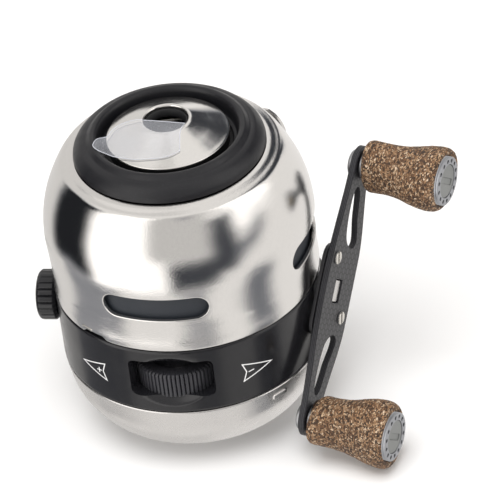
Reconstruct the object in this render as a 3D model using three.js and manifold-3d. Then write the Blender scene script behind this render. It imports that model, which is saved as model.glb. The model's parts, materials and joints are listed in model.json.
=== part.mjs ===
// Closed-face fishing reel: a steel nose cover and a steel rear cover on a black body band,
// with a thumb button, a spinner head that winds line onto a spool, a crank with two knobs,
// a ribbed drag wheel in the band and an anti-reverse selector on the side.
//
// Frame: millimetres, +Z along the reel's axis towards the nose, +X along the crank towards
// the handle, +Y towards the reel foot. The origin is on the axis, in the rest plane of the
// rear cover.

import * as THREE from 'three';
import Module from 'manifold-3d';
import { mergeVertices } from 'three/addons/utils/BufferGeometryUtils.js';

const wasm = await Module();
wasm.setup();

const reel = new THREE.Group();

// ---------------------------------------------------------------- driving dimensions

const GAP = 0.3;                   // clearance kept between neighbouring solids
const SHELL_SIDES = 36;            // facets round the big shells
const MIDDLE_SIDES = 24;           // facets round the nose, spool and spinner
const SMALL_SIDES = 12;            // facets round shafts, bearings and fasteners

const BAND = { radius: 33, low: 20, high: 38.8, wall: 4 };
const NECK = { radius: 31.5, high: 45.6, upperRadius: 29.9, upperHigh: 49.9 };
const SPIGOT = { radius: 30.6, low: 17.3 };
const PLATE = { radius: 30.2, low: 15.2, high: 17 };
const DECK = { radius: 29.9, low: 50.2, high: 52 };
const HUB = { radius: 6.6, bore: 5.3, throat: 3.8, high: 63.6, neckRadius: 5.8, neckLow: 62.1 };

const SHELL = { sheet: 0.9, low: 39.1, top: 76.2, topHole: 13.2 };
const NOTCH = { half: 2.6, high: 40.6, azimuth: -17.2 };
const SLOT = { low: 48.4, high: 55, span: 46.3, first: 15, count: 4 };
const LINER = { radius: 31.4, wall: 1.1, low: 46.2, high: 58 };

const CRANK = { y: 9, z: 34, shaft: 3, inner: -9, outer: 33.4, clamp: 36.2 };
const BUSH = { bore: 3.3, radius: 4, low: 26.8, flange: 4.7, flangeLow: 32.2, high: 33.1 };
const CRANK_BEARING = { radius: 6, low: 21.7, high: 26.2 };
const ARM = { x: 35, thick: 1.6, half: 31.85, tilt: 40, end: 4.6, eye: 2.3 };
const ARM_HUB = { x: 33.7, width: 14.4, length: 23, corner: 4 };
const ARM_WINDOW = [3.9, 5.9];
const ARM_SCREWS = [[-4.4, 8.2], [5.2, -6.4]];
const KNOB = { start: 38, length: 20.5, bore: 4.4, sides: 20 };
const CAP = { radius: 6.1, recess: 6.5, depth: 1.5 };

const FACE_GEAR = { teeth: 22, radius: 15.5, inner: 11.6, back: 6.5, web: 3.9, tip: 2.8 };
const PINION = { teeth: 6, tip: 3.5, root: 2.35, low: 19.6, high: 26.4, tube: 2.3, bore: 1.6 };
const RATCHET = { teeth: 10, tip: 6, root: 4.9, low: 17.3, high: 18.2 };

const WHEEL = { azimuth: 18, distance: 21, radius: 11, low: 23.5, high: 30.5, ribs: 64 };
const WELL = { radius: 11.6, wall: 1, low: 23.1, high: 35.3 };
const WINDOW = { half: 10.5, low: 24.5, high: 35.3 };
const DISH = { distance: 36.2, z: 29.6, across: 16, deep: 6, tall: 8.6 };
const AXLE_HOLE = 2.4;
const DRAG = { pinionTeeth: 10, ringTeeth: 32, module: 1, low: 52.4, high: 53.8 };

const SPOOL = { low: 55.2, high: 62, flange: 22, core: 9, bore: 7, sheet: 1 };
const SPINNER = { plateLow: 66, plateHigh: 67.2, radius: 24.5, skirtLow: 60.6 };
const CENTRE_SHAFT = { radius: 1.3, low: 11, high: 71.4 };
const PIN = { azimuth: 60, radius: 1, z: 63.6, inner: 18.6, outer: 27 };
const BUTTON = { radius: 14, low: 0.4, flange: 16.6, boss: 4, bossHigh: 10.6 };

const SPRING = { low: 3.5, high: 14.5, radius: 6.6, turns: 4.5, wire: 0.45 };

const SELECTOR = { azimuth: -71.7, z: 30.9, radius: 6.35, reach: 38.6 };
const FOOT = { stem: 12, plateInner: 42.4, seat: 45, width: 15, low: 7, high: 57.5 };

// ---------------------------------------------------------------- geometry helpers

const radians = (degrees) => THREE.MathUtils.degToRad(degrees);

// A closed triangle mesh with shared vertices, no zero-area faces and outward winding.
function clean(geometry) {
  const bare = geometry.clone();
  bare.deleteAttribute('normal');
  if (bare.attributes.uv) bare.deleteAttribute('uv');
  const merged = mergeVertices(bare, 1e-4);
  const index = merged.index.array;
  const faces = [];
  for (let i = 0; i < index.length; i += 3) {
    const [a, b, c] = [index[i], index[i + 1], index[i + 2]];
    if (a !== b && b !== c && c !== a) faces.push([a, b, c]);
  }
  const p = (i) => new THREE.Vector3().fromBufferAttribute(merged.attributes.position, i);
  const volume = faces.reduce((sum, [a, b, c]) => sum + p(a).dot(p(b).cross(p(c))), 0);
  const order = volume > 0 ? (f) => f : ([a, b, c]) => [a, c, b];
  const result = new THREE.BufferGeometry();
  result.setAttribute('position', merged.attributes.position);
  result.setIndex(faces.flatMap(order));
  return result;
}

function toSolid(geometry) {
  const mesh = clean(geometry);
  return new wasm.Manifold(new wasm.Mesh({
    numProp: 3,
    vertProperties: new Float32Array(mesh.attributes.position.array),
    triVerts: new Uint32Array(mesh.index.array),
  }));
}

function toGeometry(solid) {
  const mesh = solid.getMesh();
  const geometry = new THREE.BufferGeometry();
  geometry.setAttribute('position', new THREE.BufferAttribute(mesh.vertProperties, 3));
  geometry.setIndex(new THREE.BufferAttribute(mesh.triVerts, 1));
  return geometry;
}

function combine(method, first, rest) {
  return toGeometry(rest.reduce((sum, g) => sum[method](toSolid(g)), toSolid(first)));
}

const join = (first, ...rest) => combine('add', first, rest);
const cut = (first, ...rest) => combine('subtract', first, rest);
const common = (first, ...rest) => combine('intersect', first, rest);

// Turned solid about Z from closed [radius, height] points.
function turn(points, sides = SMALL_SIDES) {
  const closed = [...points, points[0]].map(([r, z]) => new THREE.Vector2(r, z));
  return clean(new THREE.LatheGeometry(closed, sides).rotateX(Math.PI / 2));
}

const ring = (inner, outer, low, high, sides) =>
  turn([[inner, low], [outer, low], [outer, high], [inner, high]], sides);

const disc = (radius, low, high, sides) => ring(0, radius, low, high, sides);

// Extrusion of a shape drawn in XY, from one height to another.
function slab(shape, low, high, curveSegments = 8) {
  const options = { depth: high - low, bevelEnabled: false, curveSegments };
  return clean(new THREE.ExtrudeGeometry(shape, options).translate(0, 0, low));
}

function polygon(points) {
  return new THREE.Shape(points.map(([x, y]) => new THREE.Vector2(x, y)));
}

function roundedRectangle(width, height, corner) {
  const [x, y] = [width / 2, height / 2];
  const shape = new THREE.Shape();
  shape.moveTo(-x + corner, -y);
  shape.lineTo(x - corner, -y);
  shape.absarc(x - corner, -y + corner, corner, -Math.PI / 2, 0);
  shape.lineTo(x, y - corner);
  shape.absarc(x - corner, y - corner, corner, 0, Math.PI / 2);
  shape.lineTo(-x + corner, y);
  shape.absarc(-x + corner, y - corner, corner, Math.PI / 2, Math.PI);
  shape.lineTo(-x, -y + corner);
  shape.absarc(-x + corner, -y + corner, corner, Math.PI, Math.PI * 1.5);
  return shape;
}

function toothed(teeth, tip, root, tipShare = 0.3, rootShare = 0.4) {
  const points = [];
  for (let i = 0; i < teeth; i += 1) {
    const corners = [[-tipShare / 2, tip], [tipShare / 2, tip], [rootShare / 2 + 0.1, root],
      [0.9 - rootShare / 2, root]];
    for (const [share, radius] of corners) {
      const angle = (2 * Math.PI * (i + share)) / teeth;
      points.push([radius * Math.cos(angle), radius * Math.sin(angle)]);
    }
  }
  return points;
}

const hexagon = (radius) => Array.from({ length: 6 }, (_, i) =>
  [radius * Math.cos((Math.PI * i) / 3), radius * Math.sin((Math.PI * i) / 3)]);

function hole(shape, radius) {
  shape.holes.push(new THREE.Path().absarc(0, 0, radius, 0, 2 * Math.PI, true));
  return shape;
}

const block = (x, y, z) => new THREE.BoxGeometry(x[1] - x[0], y[1] - y[0], z[1] - z[0])
  .translate((x[0] + x[1]) / 2, (y[0] + y[1]) / 2, (z[0] + z[1]) / 2);

// Turns a solid made along Z so that it lies along +X on the crank's axis.
const onCrankAxis = (geometry) => geometry.rotateY(Math.PI / 2).translate(0, CRANK.y, CRANK.z);

// Turns a solid made along Z so that it points outwards along -Y, then round the reel.
const outwards = (geometry, azimuth, height) => geometry.rotateX(Math.PI / 2)
  .rotateZ(radians(azimuth)).translate(0, 0, height);

// The point at a radius and an azimuth, counted from -Y towards +X.
const around = (radius, azimuth) =>
  [radius * Math.sin(radians(azimuth)), -radius * Math.cos(radians(azimuth))];

const finish = (color, roughness, metalness) =>
  new THREE.MeshStandardMaterial({ color, roughness, metalness });
const polishedSteel = () => finish(0xd8d6d2, 0.12, 1);
const satinSteel = () => finish(0xc4c2be, 0.35, 1);
const darkSteel = () => finish(0x6b6d70, 0.4, 1);
const blackPlastic = () => finish(0x17181a, 0.3, 0);
const greyPlastic = () => finish(0x34363a, 0.6, 0);
const blackRubber = () => finish(0x121212, 0.8, 0);
const whitePlastic = () => finish(0xe4e2da, 0.5, 0);
const brass = () => finish(0xb89a4e, 0.35, 1);
const carbon = () => finish(0x303236, 0.4, 0.1);
const cork = () => finish(0xa87c50, 0.9, 0);
const aluminium = () => finish(0x9a9c9c, 0.4, 1);

function add(name, geometry, material) {
  const mesh = new THREE.Mesh(clean(geometry), material);
  mesh.name = name;
  reel.add(mesh);
  return mesh;
}

// ---------------------------------------------------------------- covers

function coverShell() {
  const t = SHELL.sheet;
  const outer = [[33.05, SHELL.low], [33, 46], [33.4, 56], [32.8, 61.4], [31.2, 66.9], [29.1, 71.8],
    [26.8, 75.1], [23.4, SHELL.top], [SHELL.topHole, SHELL.top]];
  const inner = [[SHELL.topHole, SHELL.top - t], [22.8, SHELL.top - t], [28.2, 71.2],
    [31.3, 63.6], [32.4, 56], [32.1, 46], [32.1, SHELL.low]];
  return turn([...outer, ...inner], SHELL_SIDES);
}

// A band-shaped slot cutter: a flat stadium wrapped round the axis.
function slotCutter(centre) {
  const height = SLOT.high - SLOT.low;
  const middle = (SLOT.low + SLOT.high) / 2;
  const steps = 6;
  const cutters = [];
  const halfSpan = SLOT.span / 2 - THREE.MathUtils.radToDeg(height / 2 / BAND.radius);
  const section = (azimuth) => outwards(disc(height / 2, 26, 40, 12), azimuth, middle);
  for (const end of [-1, 1]) cutters.push(section(centre + end * halfSpan));
  const wedge = [[0, 0]];
  for (let i = 0; i <= steps; i += 1) {
    wedge.push(around(40, centre - halfSpan + (2 * halfSpan * i) / steps));
  }
  cutters.push(slab(polygon(wedge), SLOT.low, SLOT.high));
  return cutters;
}

function frontCover() {
  const cutters = [];
  for (let i = 0; i < SLOT.count; i += 1) cutters.push(...slotCutter(SLOT.first + 90 * i));
  const notch = block([-NOTCH.half, NOTCH.half], [-36, -31], [38, NOTCH.high])
    .rotateZ(radians(NOTCH.azimuth));
  return cut(coverShell(), notch, ...cutters);
}

add('front_cover', frontCover(), polishedSteel());
add('cover_liner', ring(LINER.radius - LINER.wall, LINER.radius, LINER.low, LINER.high, SHELL_SIDES),
  greyPlastic());
add('nose_ring', turn([[15.6, 76.5], [23.3, 76.5], [23.5, 77.3], [22.8, 78.6], [21.2, 80.1],
  [19.4, 81.2], [17.9, 81.5], [17.2, 80.6], [16.9, 77.6], [15.6, 77.4]], MIDDLE_SIDES),
blackRubber());
add('nose_cone', turn([[13.4, 76.5], [14.7, 76.5], [15, 80.1], [14.7, 80.7], [10.5, 82.7],
  [6.7, 84.4], [6, 84.7], [5.4, 84.3], [5.4, 83.5], [13.4, 79.9]], MIDDLE_SIDES), polishedSteel());
add('line_guide', turn([[4.4, 82.1], [5.1, 82.1], [5.1, 83.2], [4.8, 83.4], [4.4, 83.2]]),
  darkSteel());

// A clear protective film lies over one side of the nose cone, with a pull tab.
function noseFilm() {
  const under = [[0, 85.1], [6.3, 85.1], [10.6, 83.1], [15, 81.1], [17.1, 81.9], [18.6, 81.9],
    [21.5, 80.9]];
  const over = under.map(([r, z]) => [r, z + 0.3]).reverse();
  const cone = turn([...under, ...over], MIDDLE_SIDES);
  const outline = new THREE.Shape();
  outline.moveTo(3.7, -1);
  outline.lineTo(1.75, -11.1);
  outline.quadraticCurveTo(-4.5, -13.6, -12.6, -6.5);
  outline.lineTo(-18.8, -2.4);
  outline.lineTo(-12, 1.4);
  outline.lineTo(-6, 3.3);
  return common(cone, slab(outline, 78, 88, 6).rotateZ(radians(30)));
}

add('nose_film', noseFilm(), whitePlastic());

add('rear_cover', turn([[14.6, 0], [20, 0], [23, 2], [26.9, 5], [29.9, 9], [31.9, 13],
  [32.9, 19.7], [31.6, 19.7], [30.5, 12.8], [27, 7.4], [22.2, 3.2], [19.5, 1.3], [14.6, 1.3]],
SHELL_SIDES), satinSteel());

// ---------------------------------------------------------------- body and its plates

const wheelCentre = around(WHEEL.distance, WHEEL.azimuth);
const FOOT_SCREW = { x: [-4, 4], z: 30.2 };
const PLATE_SCREW = { azimuths: [60, 150, 240, 330], circle: 27.2 };

// Two holes through the back of the body and the foot, for the foot screws.
const footScrewHoles = () => FOOT_SCREW.x.map((x) => disc(1.5, 20, 40).rotateX(-Math.PI / 2)
  .translate(x, 0, FOOT_SCREW.z));

function bodyFrame() {
  const inner = BAND.radius - BAND.wall;
  const band = turn([[inner, SPIGOT.low], [SPIGOT.radius, SPIGOT.low], [SPIGOT.radius, BAND.low],
    [BAND.radius, BAND.low], [BAND.radius, BAND.high - 0.4], [BAND.radius - 0.4, BAND.high],
    [NECK.radius, BAND.high], [NECK.radius, NECK.high], [NECK.upperRadius, NECK.high],
    [NECK.upperRadius, NECK.upperHigh], [28.2, NECK.upperHigh], [28.2, 46], [inner, 45]],
  SHELL_SIDES);
  const inside = disc(inner + 1, SPIGOT.low + 0.2, 46, MIDDLE_SIDES);
  const drum = disc(WELL.radius + WELL.wall, WELL.low - 1.2, WELL.high + 1.2)
    .translate(...wheelCentre, 0);
  const crankBoss = onCrankAxis(disc(7.6, 21.4, 31));
  const selectorBoss = outwards(disc(3.6, 24.5, 30), SELECTOR.azimuth, SELECTOR.z);
  const footPad = block([-8, 8], [30, 33.2], [23, 37.5]);

  const well = disc(WELL.radius, WELL.low, WELL.high).translate(...wheelCentre, 0);
  const axleHole = disc(AXLE_HOLE, 15, 60, 16).translate(...wheelCentre, 0);
  const window = slab(roundedRectangle(2 * WINDOW.half, WINDOW.high - WINDOW.low, 1), 20, 40, 3);
  outwards(window, WHEEL.azimuth, (WINDOW.low + WINDOW.high) / 2);
  const dish = new THREE.SphereGeometry(1, 18, 10).scale(DISH.across, DISH.deep, DISH.tall)
    .translate(0, -DISH.distance, DISH.z).rotateZ(radians(WHEEL.azimuth));
  const bearingPocket = onCrankAxis(disc(CRANK_BEARING.radius + GAP, 20, BUSH.low - 0.2));
  const bushHole = onCrankAxis(disc(BUSH.radius + GAP, 20, 40));
  const bushFace = onCrankAxis(disc(BUSH.flange + 0.4, BUSH.flangeLow - GAP, 40));
  const selectorHole = outwards(disc(1.9, 20, 40, 16), SELECTOR.azimuth, SELECTOR.z);
  const selectorRecess = outwards(disc(6.9, 32.6, 40), SELECTOR.azimuth, SELECTOR.z);

  const whole = join(band, common(join(drum, crankBoss, selectorBoss), inside), footPad);
  return cut(whole, well, axleHole, window, dish, bearingPocket, bushHole, bushFace, selectorHole,
    selectorRecess, ...footScrewHoles());
}

add('body_frame', bodyFrame(), blackPlastic());

function bearingPlate() {
  const plate = disc(PLATE.radius, PLATE.low, PLATE.high, SHELL_SIDES);
  const bracket = block([-8, -5.2], [4.6, 13.4], [PLATE.low + 0.5, CRANK.z + 4.4]);
  const holes = [disc(HUB.bore, 10, 20), disc(AXLE_HOLE, 10, 20, 16).translate(...wheelCentre, 0),
    onCrankAxis(disc(CRANK.shaft + GAP, -10, 0, 24))];
  for (const azimuth of PLATE_SCREW.azimuths) {
    holes.push(disc(1.4, 10, 20).translate(...around(PLATE_SCREW.circle, azimuth), 0));
  }
  return cut(join(plate, bracket), ...holes);
}

add('bearing_plate', bearingPlate(), satinSteel());

function gearDeck() {
  const deck = turn([[HUB.bore, DECK.low], [DECK.radius, DECK.low], [DECK.radius, DECK.high],
    [HUB.radius, DECK.high], [HUB.radius, HUB.neckLow], [HUB.neckRadius, HUB.neckLow],
    [HUB.neckRadius, HUB.high], [HUB.throat, HUB.high], [HUB.throat, 54], [HUB.bore, 54]],
  MIDDLE_SIDES);
  return cut(deck, disc(AXLE_HOLE, 45, 60, 16).translate(...wheelCentre, 0));
}

add('gear_deck', gearDeck(), satinSteel());
add('front_bearing', ring(PINION.tube + GAP, HUB.bore - GAP, 50.5, 53.7), darkSteel());
add('rear_bearing', ring(PINION.tube + GAP, 5, PLATE.low, PLATE.high - 0.1), darkSteel());

PLATE_SCREW.azimuths.forEach((azimuth, i) => {
  const screw = turn([[0, 13.8], [2.2, 13.8], [2.2, 14.9], [1.1, 14.9], [1.1, 17], [0, 17]]);
  const place = around(PLATE_SCREW.circle, azimuth);
  add(`plate_screw_${i + 1}`, screw.translate(...place, 0), satinSteel());
});

// ---------------------------------------------------------------- reel foot

function reelFoot() {
  const middle = (FOOT.low + FOOT.high) / 2;
  const side = new THREE.Shape();
  side.moveTo(FOOT.seat, FOOT.low);
  side.lineTo(FOOT.seat, FOOT.high);
  side.lineTo(FOOT.seat - 0.9, FOOT.high);
  side.quadraticCurveTo(FOOT.plateInner, FOOT.high - 6, FOOT.plateInner - 0.4, middle + 12);
  side.lineTo(FOOT.plateInner - 0.6, 37);
  side.lineTo(33.6, 37);
  side.lineTo(33.6, 23.5);
  side.lineTo(FOOT.plateInner - 0.6, 23.5);
  side.quadraticCurveTo(FOOT.plateInner, FOOT.low + 6, FOOT.seat - 0.9, FOOT.low);
  const profile = slab(side, -FOOT.width / 2, FOOT.width / 2, 4);
  profile.applyMatrix4(new THREE.Matrix4().set(0, 0, 1, 0, 1, 0, 0, 0, 0, 1, 0, 0, 0, 0, 0, 1));
  const outline = slab(roundedRectangle(FOOT.width, FOOT.high - FOOT.low, 6.5), -60, -30, 5);
  outline.rotateX(Math.PI / 2).translate(0, 0, middle);
  const half = FOOT.stem / 2;
  const stem = join(block([-half, half], [33, 42], [23, 37.5]),
    block([-FOOT.width / 2, FOOT.width / 2], [41.2, 46], [0, 60]));
  return cut(common(profile, outline, stem), ...footScrewHoles());
}

add('reel_foot', reelFoot(), satinSteel());
FOOT_SCREW.x.forEach((x, i) => {
  const screw = turn([[0, 26.3], [2.1, 26.3], [2.1, 27.7], [1.2, 27.7], [1.2, 38.4], [0, 38.4]]);
  const placed = screw.rotateX(-Math.PI / 2).translate(x, 0, FOOT_SCREW.z);
  add(`foot_screw_${i + 1}`, placed, satinSteel());
});

// ---------------------------------------------------------------- crank and gears

add('crank_bearing', onCrankAxis(ring(CRANK.shaft + GAP, CRANK_BEARING.radius,
  CRANK_BEARING.low, CRANK_BEARING.high, 20)), darkSteel());
add('crank_bush', onCrankAxis(turn([[BUSH.bore, BUSH.low], [BUSH.radius, BUSH.low],
  [BUSH.radius, BUSH.flangeLow], [BUSH.flange, BUSH.flangeLow], [BUSH.flange, BUSH.high],
  [BUSH.bore, BUSH.high]], 20)), darkSteel());

function crankShaft() {
  const round = disc(CRANK.shaft, CRANK.inner, CRANK.outer);
  const [width, height] = ARM_WINDOW.map((side) => side - 0.7);
  const flats = slab(roundedRectangle(width, height, 0.6), CRANK.outer - 0.4, CRANK.clamp, 3);
  return join(onCrankAxis(round), inArmPlane(flats));
}

add('crank_shaft', crankShaft(), satinSteel());

// The face gear's ribs are tangent to a circle as wide as the crank's offset, so that the rib
// in mesh lies along the pinion.
function driveGear() {
  const { radius, inner, back, web, tip, teeth } = FACE_GEAR;
  const hub = turn([[CRANK.shaft + GAP, web], [radius, web], [radius, back], [5, back], [5, 9],
    [CRANK.shaft + GAP, 9]], 36);
  const ribs = [];
  const near = Math.sqrt(inner ** 2 - CRANK.y ** 2);
  const far = Math.sqrt((radius - 0.4) ** 2 - CRANK.y ** 2);
  for (let i = 0; i < teeth; i += 1) {
    const rib = block([near, far], [-CRANK.y - 0.5, 0.5 - CRANK.y], [tip, web + 0.5]);
    ribs.push(rib.rotateZ((2 * Math.PI * i) / teeth));
  }
  return onCrankAxis(join(hub, ...ribs));
}

add('drive_gear', driveGear(), brass());

function pinionGear() {
  const teeth = polygon(toothed(PINION.teeth, PINION.tip, PINION.root, 0.22, 0.5));
  const ratchet = polygon(Array.from({ length: 2 * RATCHET.teeth }, (_, i) => {
    const angle = (Math.PI * (i + (i % 2) * 0.8)) / RATCHET.teeth;
    const radius = i % 2 ? RATCHET.root : RATCHET.tip;
    return [radius * Math.cos(angle), radius * Math.sin(angle)];
  }));
  const gear = slab(teeth, PINION.low, PINION.high).rotateZ(Math.PI / PINION.teeth);
  const tube = turn([[0, PLATE.low], [PINION.tube, PLATE.low], [PINION.tube, 53.7], [0, 53.7]]);
  const collar = disc(2.9, RATCHET.low, PINION.low + 0.1);
  const whole = join(tube, gear, collar, slab(ratchet, RATCHET.low, RATCHET.high));
  return cut(whole, disc(PINION.bore, 10, 60));
}

add('pinion_gear', pinionGear(), brass());

// ---------------------------------------------------------------- handle

// Handle parts are drawn in a frame with x across the arm and y up the arm towards the upper
// knob, then turned into the arm's plane, which is square to the crank.
function inArmPlane(geometry) {
  return geometry.rotateZ(radians(-ARM.tilt)).applyMatrix4(
    new THREE.Matrix4().set(0, 0, 1, 0, 1, 0, 0, CRANK.y, 0, 1, 0, CRANK.z, 0, 0, 0, 1));
}

function armOutline() {
  const { end } = ARM;
  const arm = new THREE.Shape();
  arm.absarc(0, ARM.half, end, 0, Math.PI);
  arm.bezierCurveTo(-end, ARM.half - 10, -7.6, 14, -7.6, 0);
  arm.bezierCurveTo(-7.6, -14, -end, 10 - ARM.half, -end, -ARM.half);
  arm.absarc(0, -ARM.half, end, Math.PI, 2 * Math.PI);
  arm.bezierCurveTo(end, 8 - ARM.half, 9.6, -16, 9.6, -8);
  arm.lineTo(9.6, 8);
  arm.bezierCurveTo(9.6, 16, end, ARM.half - 8, end, ARM.half);
  return arm;
}

function armSlot(side) {
  const slot = new THREE.Path();
  slot.moveTo(-0.5, side * 26.2);
  slot.bezierCurveTo(1.7, side * 26.6, 2.4, side * 23, 3, side * 20);
  slot.bezierCurveTo(3.6, side * 16.6, 6.2, side * 14, 5.4, side * 12);
  slot.bezierCurveTo(4.2, side * 10, -0.4, side * 11, -1.4, side * 14.4);
  slot.bezierCurveTo(-2.6, side * 18.6, -2.8, side * 25.6, -0.5, side * 26.2);
  return slot;
}

function rectanglePath(width, height) {
  const path = new THREE.Path();
  path.moveTo(-width / 2, -height / 2);
  path.lineTo(width / 2, -height / 2);
  path.lineTo(width / 2, height / 2);
  path.lineTo(-width / 2, height / 2);
  path.closePath();
  return path;
}

function screwHoles(shape, radius) {
  for (const [x, y] of ARM_SCREWS) {
    shape.holes.push(new THREE.Path().absarc(x, y, radius, 0, 2 * Math.PI, true));
  }
}

function handleArm() {
  const arm = armOutline();
  arm.holes.push(armSlot(1), armSlot(-1), rectanglePath(...ARM_WINDOW));
  screwHoles(arm, 1.2);
  for (const y of [-ARM.half, ARM.half]) {
    arm.holes.push(new THREE.Path().absarc(0, y, ARM.eye, 0, 2 * Math.PI, true));
  }
  return inArmPlane(slab(arm, ARM.x, ARM.x + ARM.thick, 6));
}

function handleHub() {
  const hub = roundedRectangle(ARM_HUB.width, ARM_HUB.length, ARM_HUB.corner);
  hub.holes.push(rectanglePath(...ARM_WINDOW));
  screwHoles(hub, 1.2);
  return inArmPlane(slab(hub, ARM_HUB.x, ARM.x - GAP, 3));
}

add('handle_arm', handleArm(), carbon());
add('handle_hub', handleHub(), blackPlastic());

ARM_SCREWS.forEach(([x, y], i) => {
  const top = ARM.x + ARM.thick;
  const screw = turn([[0, ARM_HUB.x + 0.1], [0.9, ARM_HUB.x + 0.1], [0.9, top + GAP],
    [1.65, top + GAP], [1.65, top + 0.7], [1.3, top + 1], [0, top + 1]]);
  add(`arm_screw_${i + 1}`, inArmPlane(screw.translate(x, y, 0)), polishedSteel());
});

// ---------------------------------------------------------------- knobs

// Oval half-widths of a grip at each distance from its arm end.
const GRIP_SECTIONS = [[0, 4.9, 6.7], [0.9, 5.4, 7.1], [5, 6, 6.5], [9, 7, 6.2], [13, 8.4, 6.6],
  [16.5, 9.2, 7.2], [19, 9, 7.3], [20.5, 8, 6.9]];

function grip(turned) {
  const outline = GRIP_SECTIONS.map(([z]) => [1, z]);
  const solid = turn([[0, 0], ...outline, [0, KNOB.length]], KNOB.sides);
  const position = solid.attributes.position;
  for (let i = 0; i < position.count; i += 1) {
    const z = position.getZ(i);
    const [, wide, narrow] = GRIP_SECTIONS.find((s) => Math.abs(s[0] - z) < 0.01);
    const [across, along] = turned ? [narrow, wide] : [wide, narrow];
    position.setXY(i, position.getX(i) * across, position.getY(i) * along);
  }
  const length = KNOB.length;
  const recess = disc(CAP.recess, length - CAP.depth, length + 1, KNOB.sides);
  return cut(solid, disc(KNOB.bore, -1, length + 1), recess);
}

// The spindle is riveted behind the arm and carries the grip on two bearings under a nut.
function buildKnob(label, side) {
  const place = (g) => inArmPlane(g.translate(0, side * ARM.half, 0));
  const upright = (g) => place(g.rotateZ(radians(ARM.tilt)));
  const { start } = KNOB;
  const end = start + KNOB.length;
  const back = ARM.x - GAP;
  const front = ARM.x + ARM.thick + GAP;
  add(`${label}_knob_spindle`, place(turn([[0, back - 1], [3.4, back - 1], [3.4, back],
    [2, back], [2, front], [3.6, front], [3.6, front + 0.7], [2, front + 0.7],
    [2, start + 15.8], [0, start + 15.8]])), satinSteel());
  add(`${label}_knob_grip`, upright(grip(side < 0).translate(0, 0, start)), cork());
  add(`${label}_knob_inner_bearing`, place(ring(2.3, 4.1, start + 0.3, start + 2.9, 14)),
    darkSteel());
  add(`${label}_knob_outer_bearing`, place(ring(2.3, 4.1, start + 12.6, start + 15.2, 14)),
    darkSteel());
  add(`${label}_knob_nut`, place(slab(polygon(hexagon(3.4)), start + 16.1, start + 18.2)), brass());
  add(`${label}_knob_cap`, place(turn([[0, end - 1.2], [CAP.radius, end - 1.2],
    [CAP.radius, end + 0.3], [5.7, end + 0.7], [4.6, end + 0.7], [4.2, end + 0.4], [0, end + 0.9]],
  KNOB.sides)), aluminium());
}

buildKnob('upper', 1);
buildKnob('lower', -1);

// ---------------------------------------------------------------- button, shaft and spinner

add('thumb_button', turn([[0, BUTTON.low], [13.4, BUTTON.low], [BUTTON.radius, 1],
  [BUTTON.radius, 1.7], [BUTTON.flange, 1.7], [BUTTON.flange, 2.7], [BUTTON.boss, 2.7],
  [BUTTON.boss, BUTTON.bossHigh], [0, BUTTON.bossHigh]], MIDDLE_SIDES), blackPlastic());

function buttonSpring() {
  const { low, high, radius, turns, wire: thickness } = SPRING;
  const points = [];
  const steps = turns * 10;
  for (let i = 0; i <= steps; i += 1) {
    const angle = (2 * Math.PI * turns * i) / steps;
    const height = low + ((high - low) * i) / steps;
    points.push(new THREE.Vector3(radius * Math.cos(angle), radius * Math.sin(angle), height));
  }
  const wire = polygon(Array.from({ length: 5 }, (_, i) =>
    [thickness * Math.cos(0.4 * Math.PI * i), thickness * Math.sin(0.4 * Math.PI * i)]));
  const extrudePath = new THREE.CatmullRomCurve3(points);
  return new THREE.ExtrudeGeometry(wire, { steps, extrudePath, bevelEnabled: false });
}

add('button_spring', buttonSpring(), darkSteel());
add('centre_shaft', disc(CENTRE_SHAFT.radius, CENTRE_SHAFT.low, CENTRE_SHAFT.high, 16),
  satinSteel());

function spinnerHead() {
  const { plateLow, plateHigh, radius, skirtLow } = SPINNER;
  const head = turn([[CENTRE_SHAFT.radius + GAP, plateLow], [22.2, plateLow], [23.3, 64.6],
    [23.3, skirtLow], [radius, skirtLow], [radius, 65], [22.8, plateHigh],
    [5, plateHigh], [4, 68.2], [CENTRE_SHAFT.radius + GAP, 68.2]], MIDDLE_SIDES);
  return cut(head, outwards(disc(PIN.radius + 0.35, 15, 30), PIN.azimuth, PIN.z));
}

add('spinner_head', spinnerHead(), satinSteel());
add('pickup_pin', outwards(disc(PIN.radius, PIN.inner, PIN.outer), PIN.azimuth, PIN.z),
  whitePlastic());
add('spinner_nut', cut(slab(polygon(hexagon(3.4)), 68.5, 70.6),
  disc(CENTRE_SHAFT.radius + GAP, 60, 80, 16)), brass());

// ---------------------------------------------------------------- spool and drag

add('spool', turn([[SPOOL.bore, SPOOL.low], [SPOOL.flange, SPOOL.low],
  [SPOOL.flange, SPOOL.low + SPOOL.sheet], [SPOOL.core, SPOOL.low + SPOOL.sheet],
  [SPOOL.core, SPOOL.high - SPOOL.sheet], [SPOOL.flange, SPOOL.high - SPOOL.sheet],
  [SPOOL.flange, SPOOL.high], [SPOOL.bore, SPOOL.high]], MIDDLE_SIDES), blackPlastic());
add('line_pack', turn([[SPOOL.core + GAP, 56.5], [20.2, 56.5], [20.7, 58.6], [20.2, 60.7],
  [SPOOL.core + GAP, 60.7]], MIDDLE_SIDES), whitePlastic());
add('spool_clip', ring(6.1, 9, 62.4, 63.2), darkSteel());
add('drag_washer', ring(SPOOL.bore, 13, 54.1, 54.9, 20), darkSteel());

const ringPitch = (DRAG.ringTeeth * DRAG.module) / 2;
const pinionPitch = (DRAG.pinionTeeth * DRAG.module) / 2;
const ringShape = toothed(DRAG.ringTeeth, ringPitch + 0.7, ringPitch - 1, 0.22, 0.4);
add('drag_ring', slab(hole(polygon(ringShape), SPOOL.bore), DRAG.low, DRAG.high)
  .rotateZ(radians(WHEEL.azimuth - 90)), satinSteel());

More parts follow.
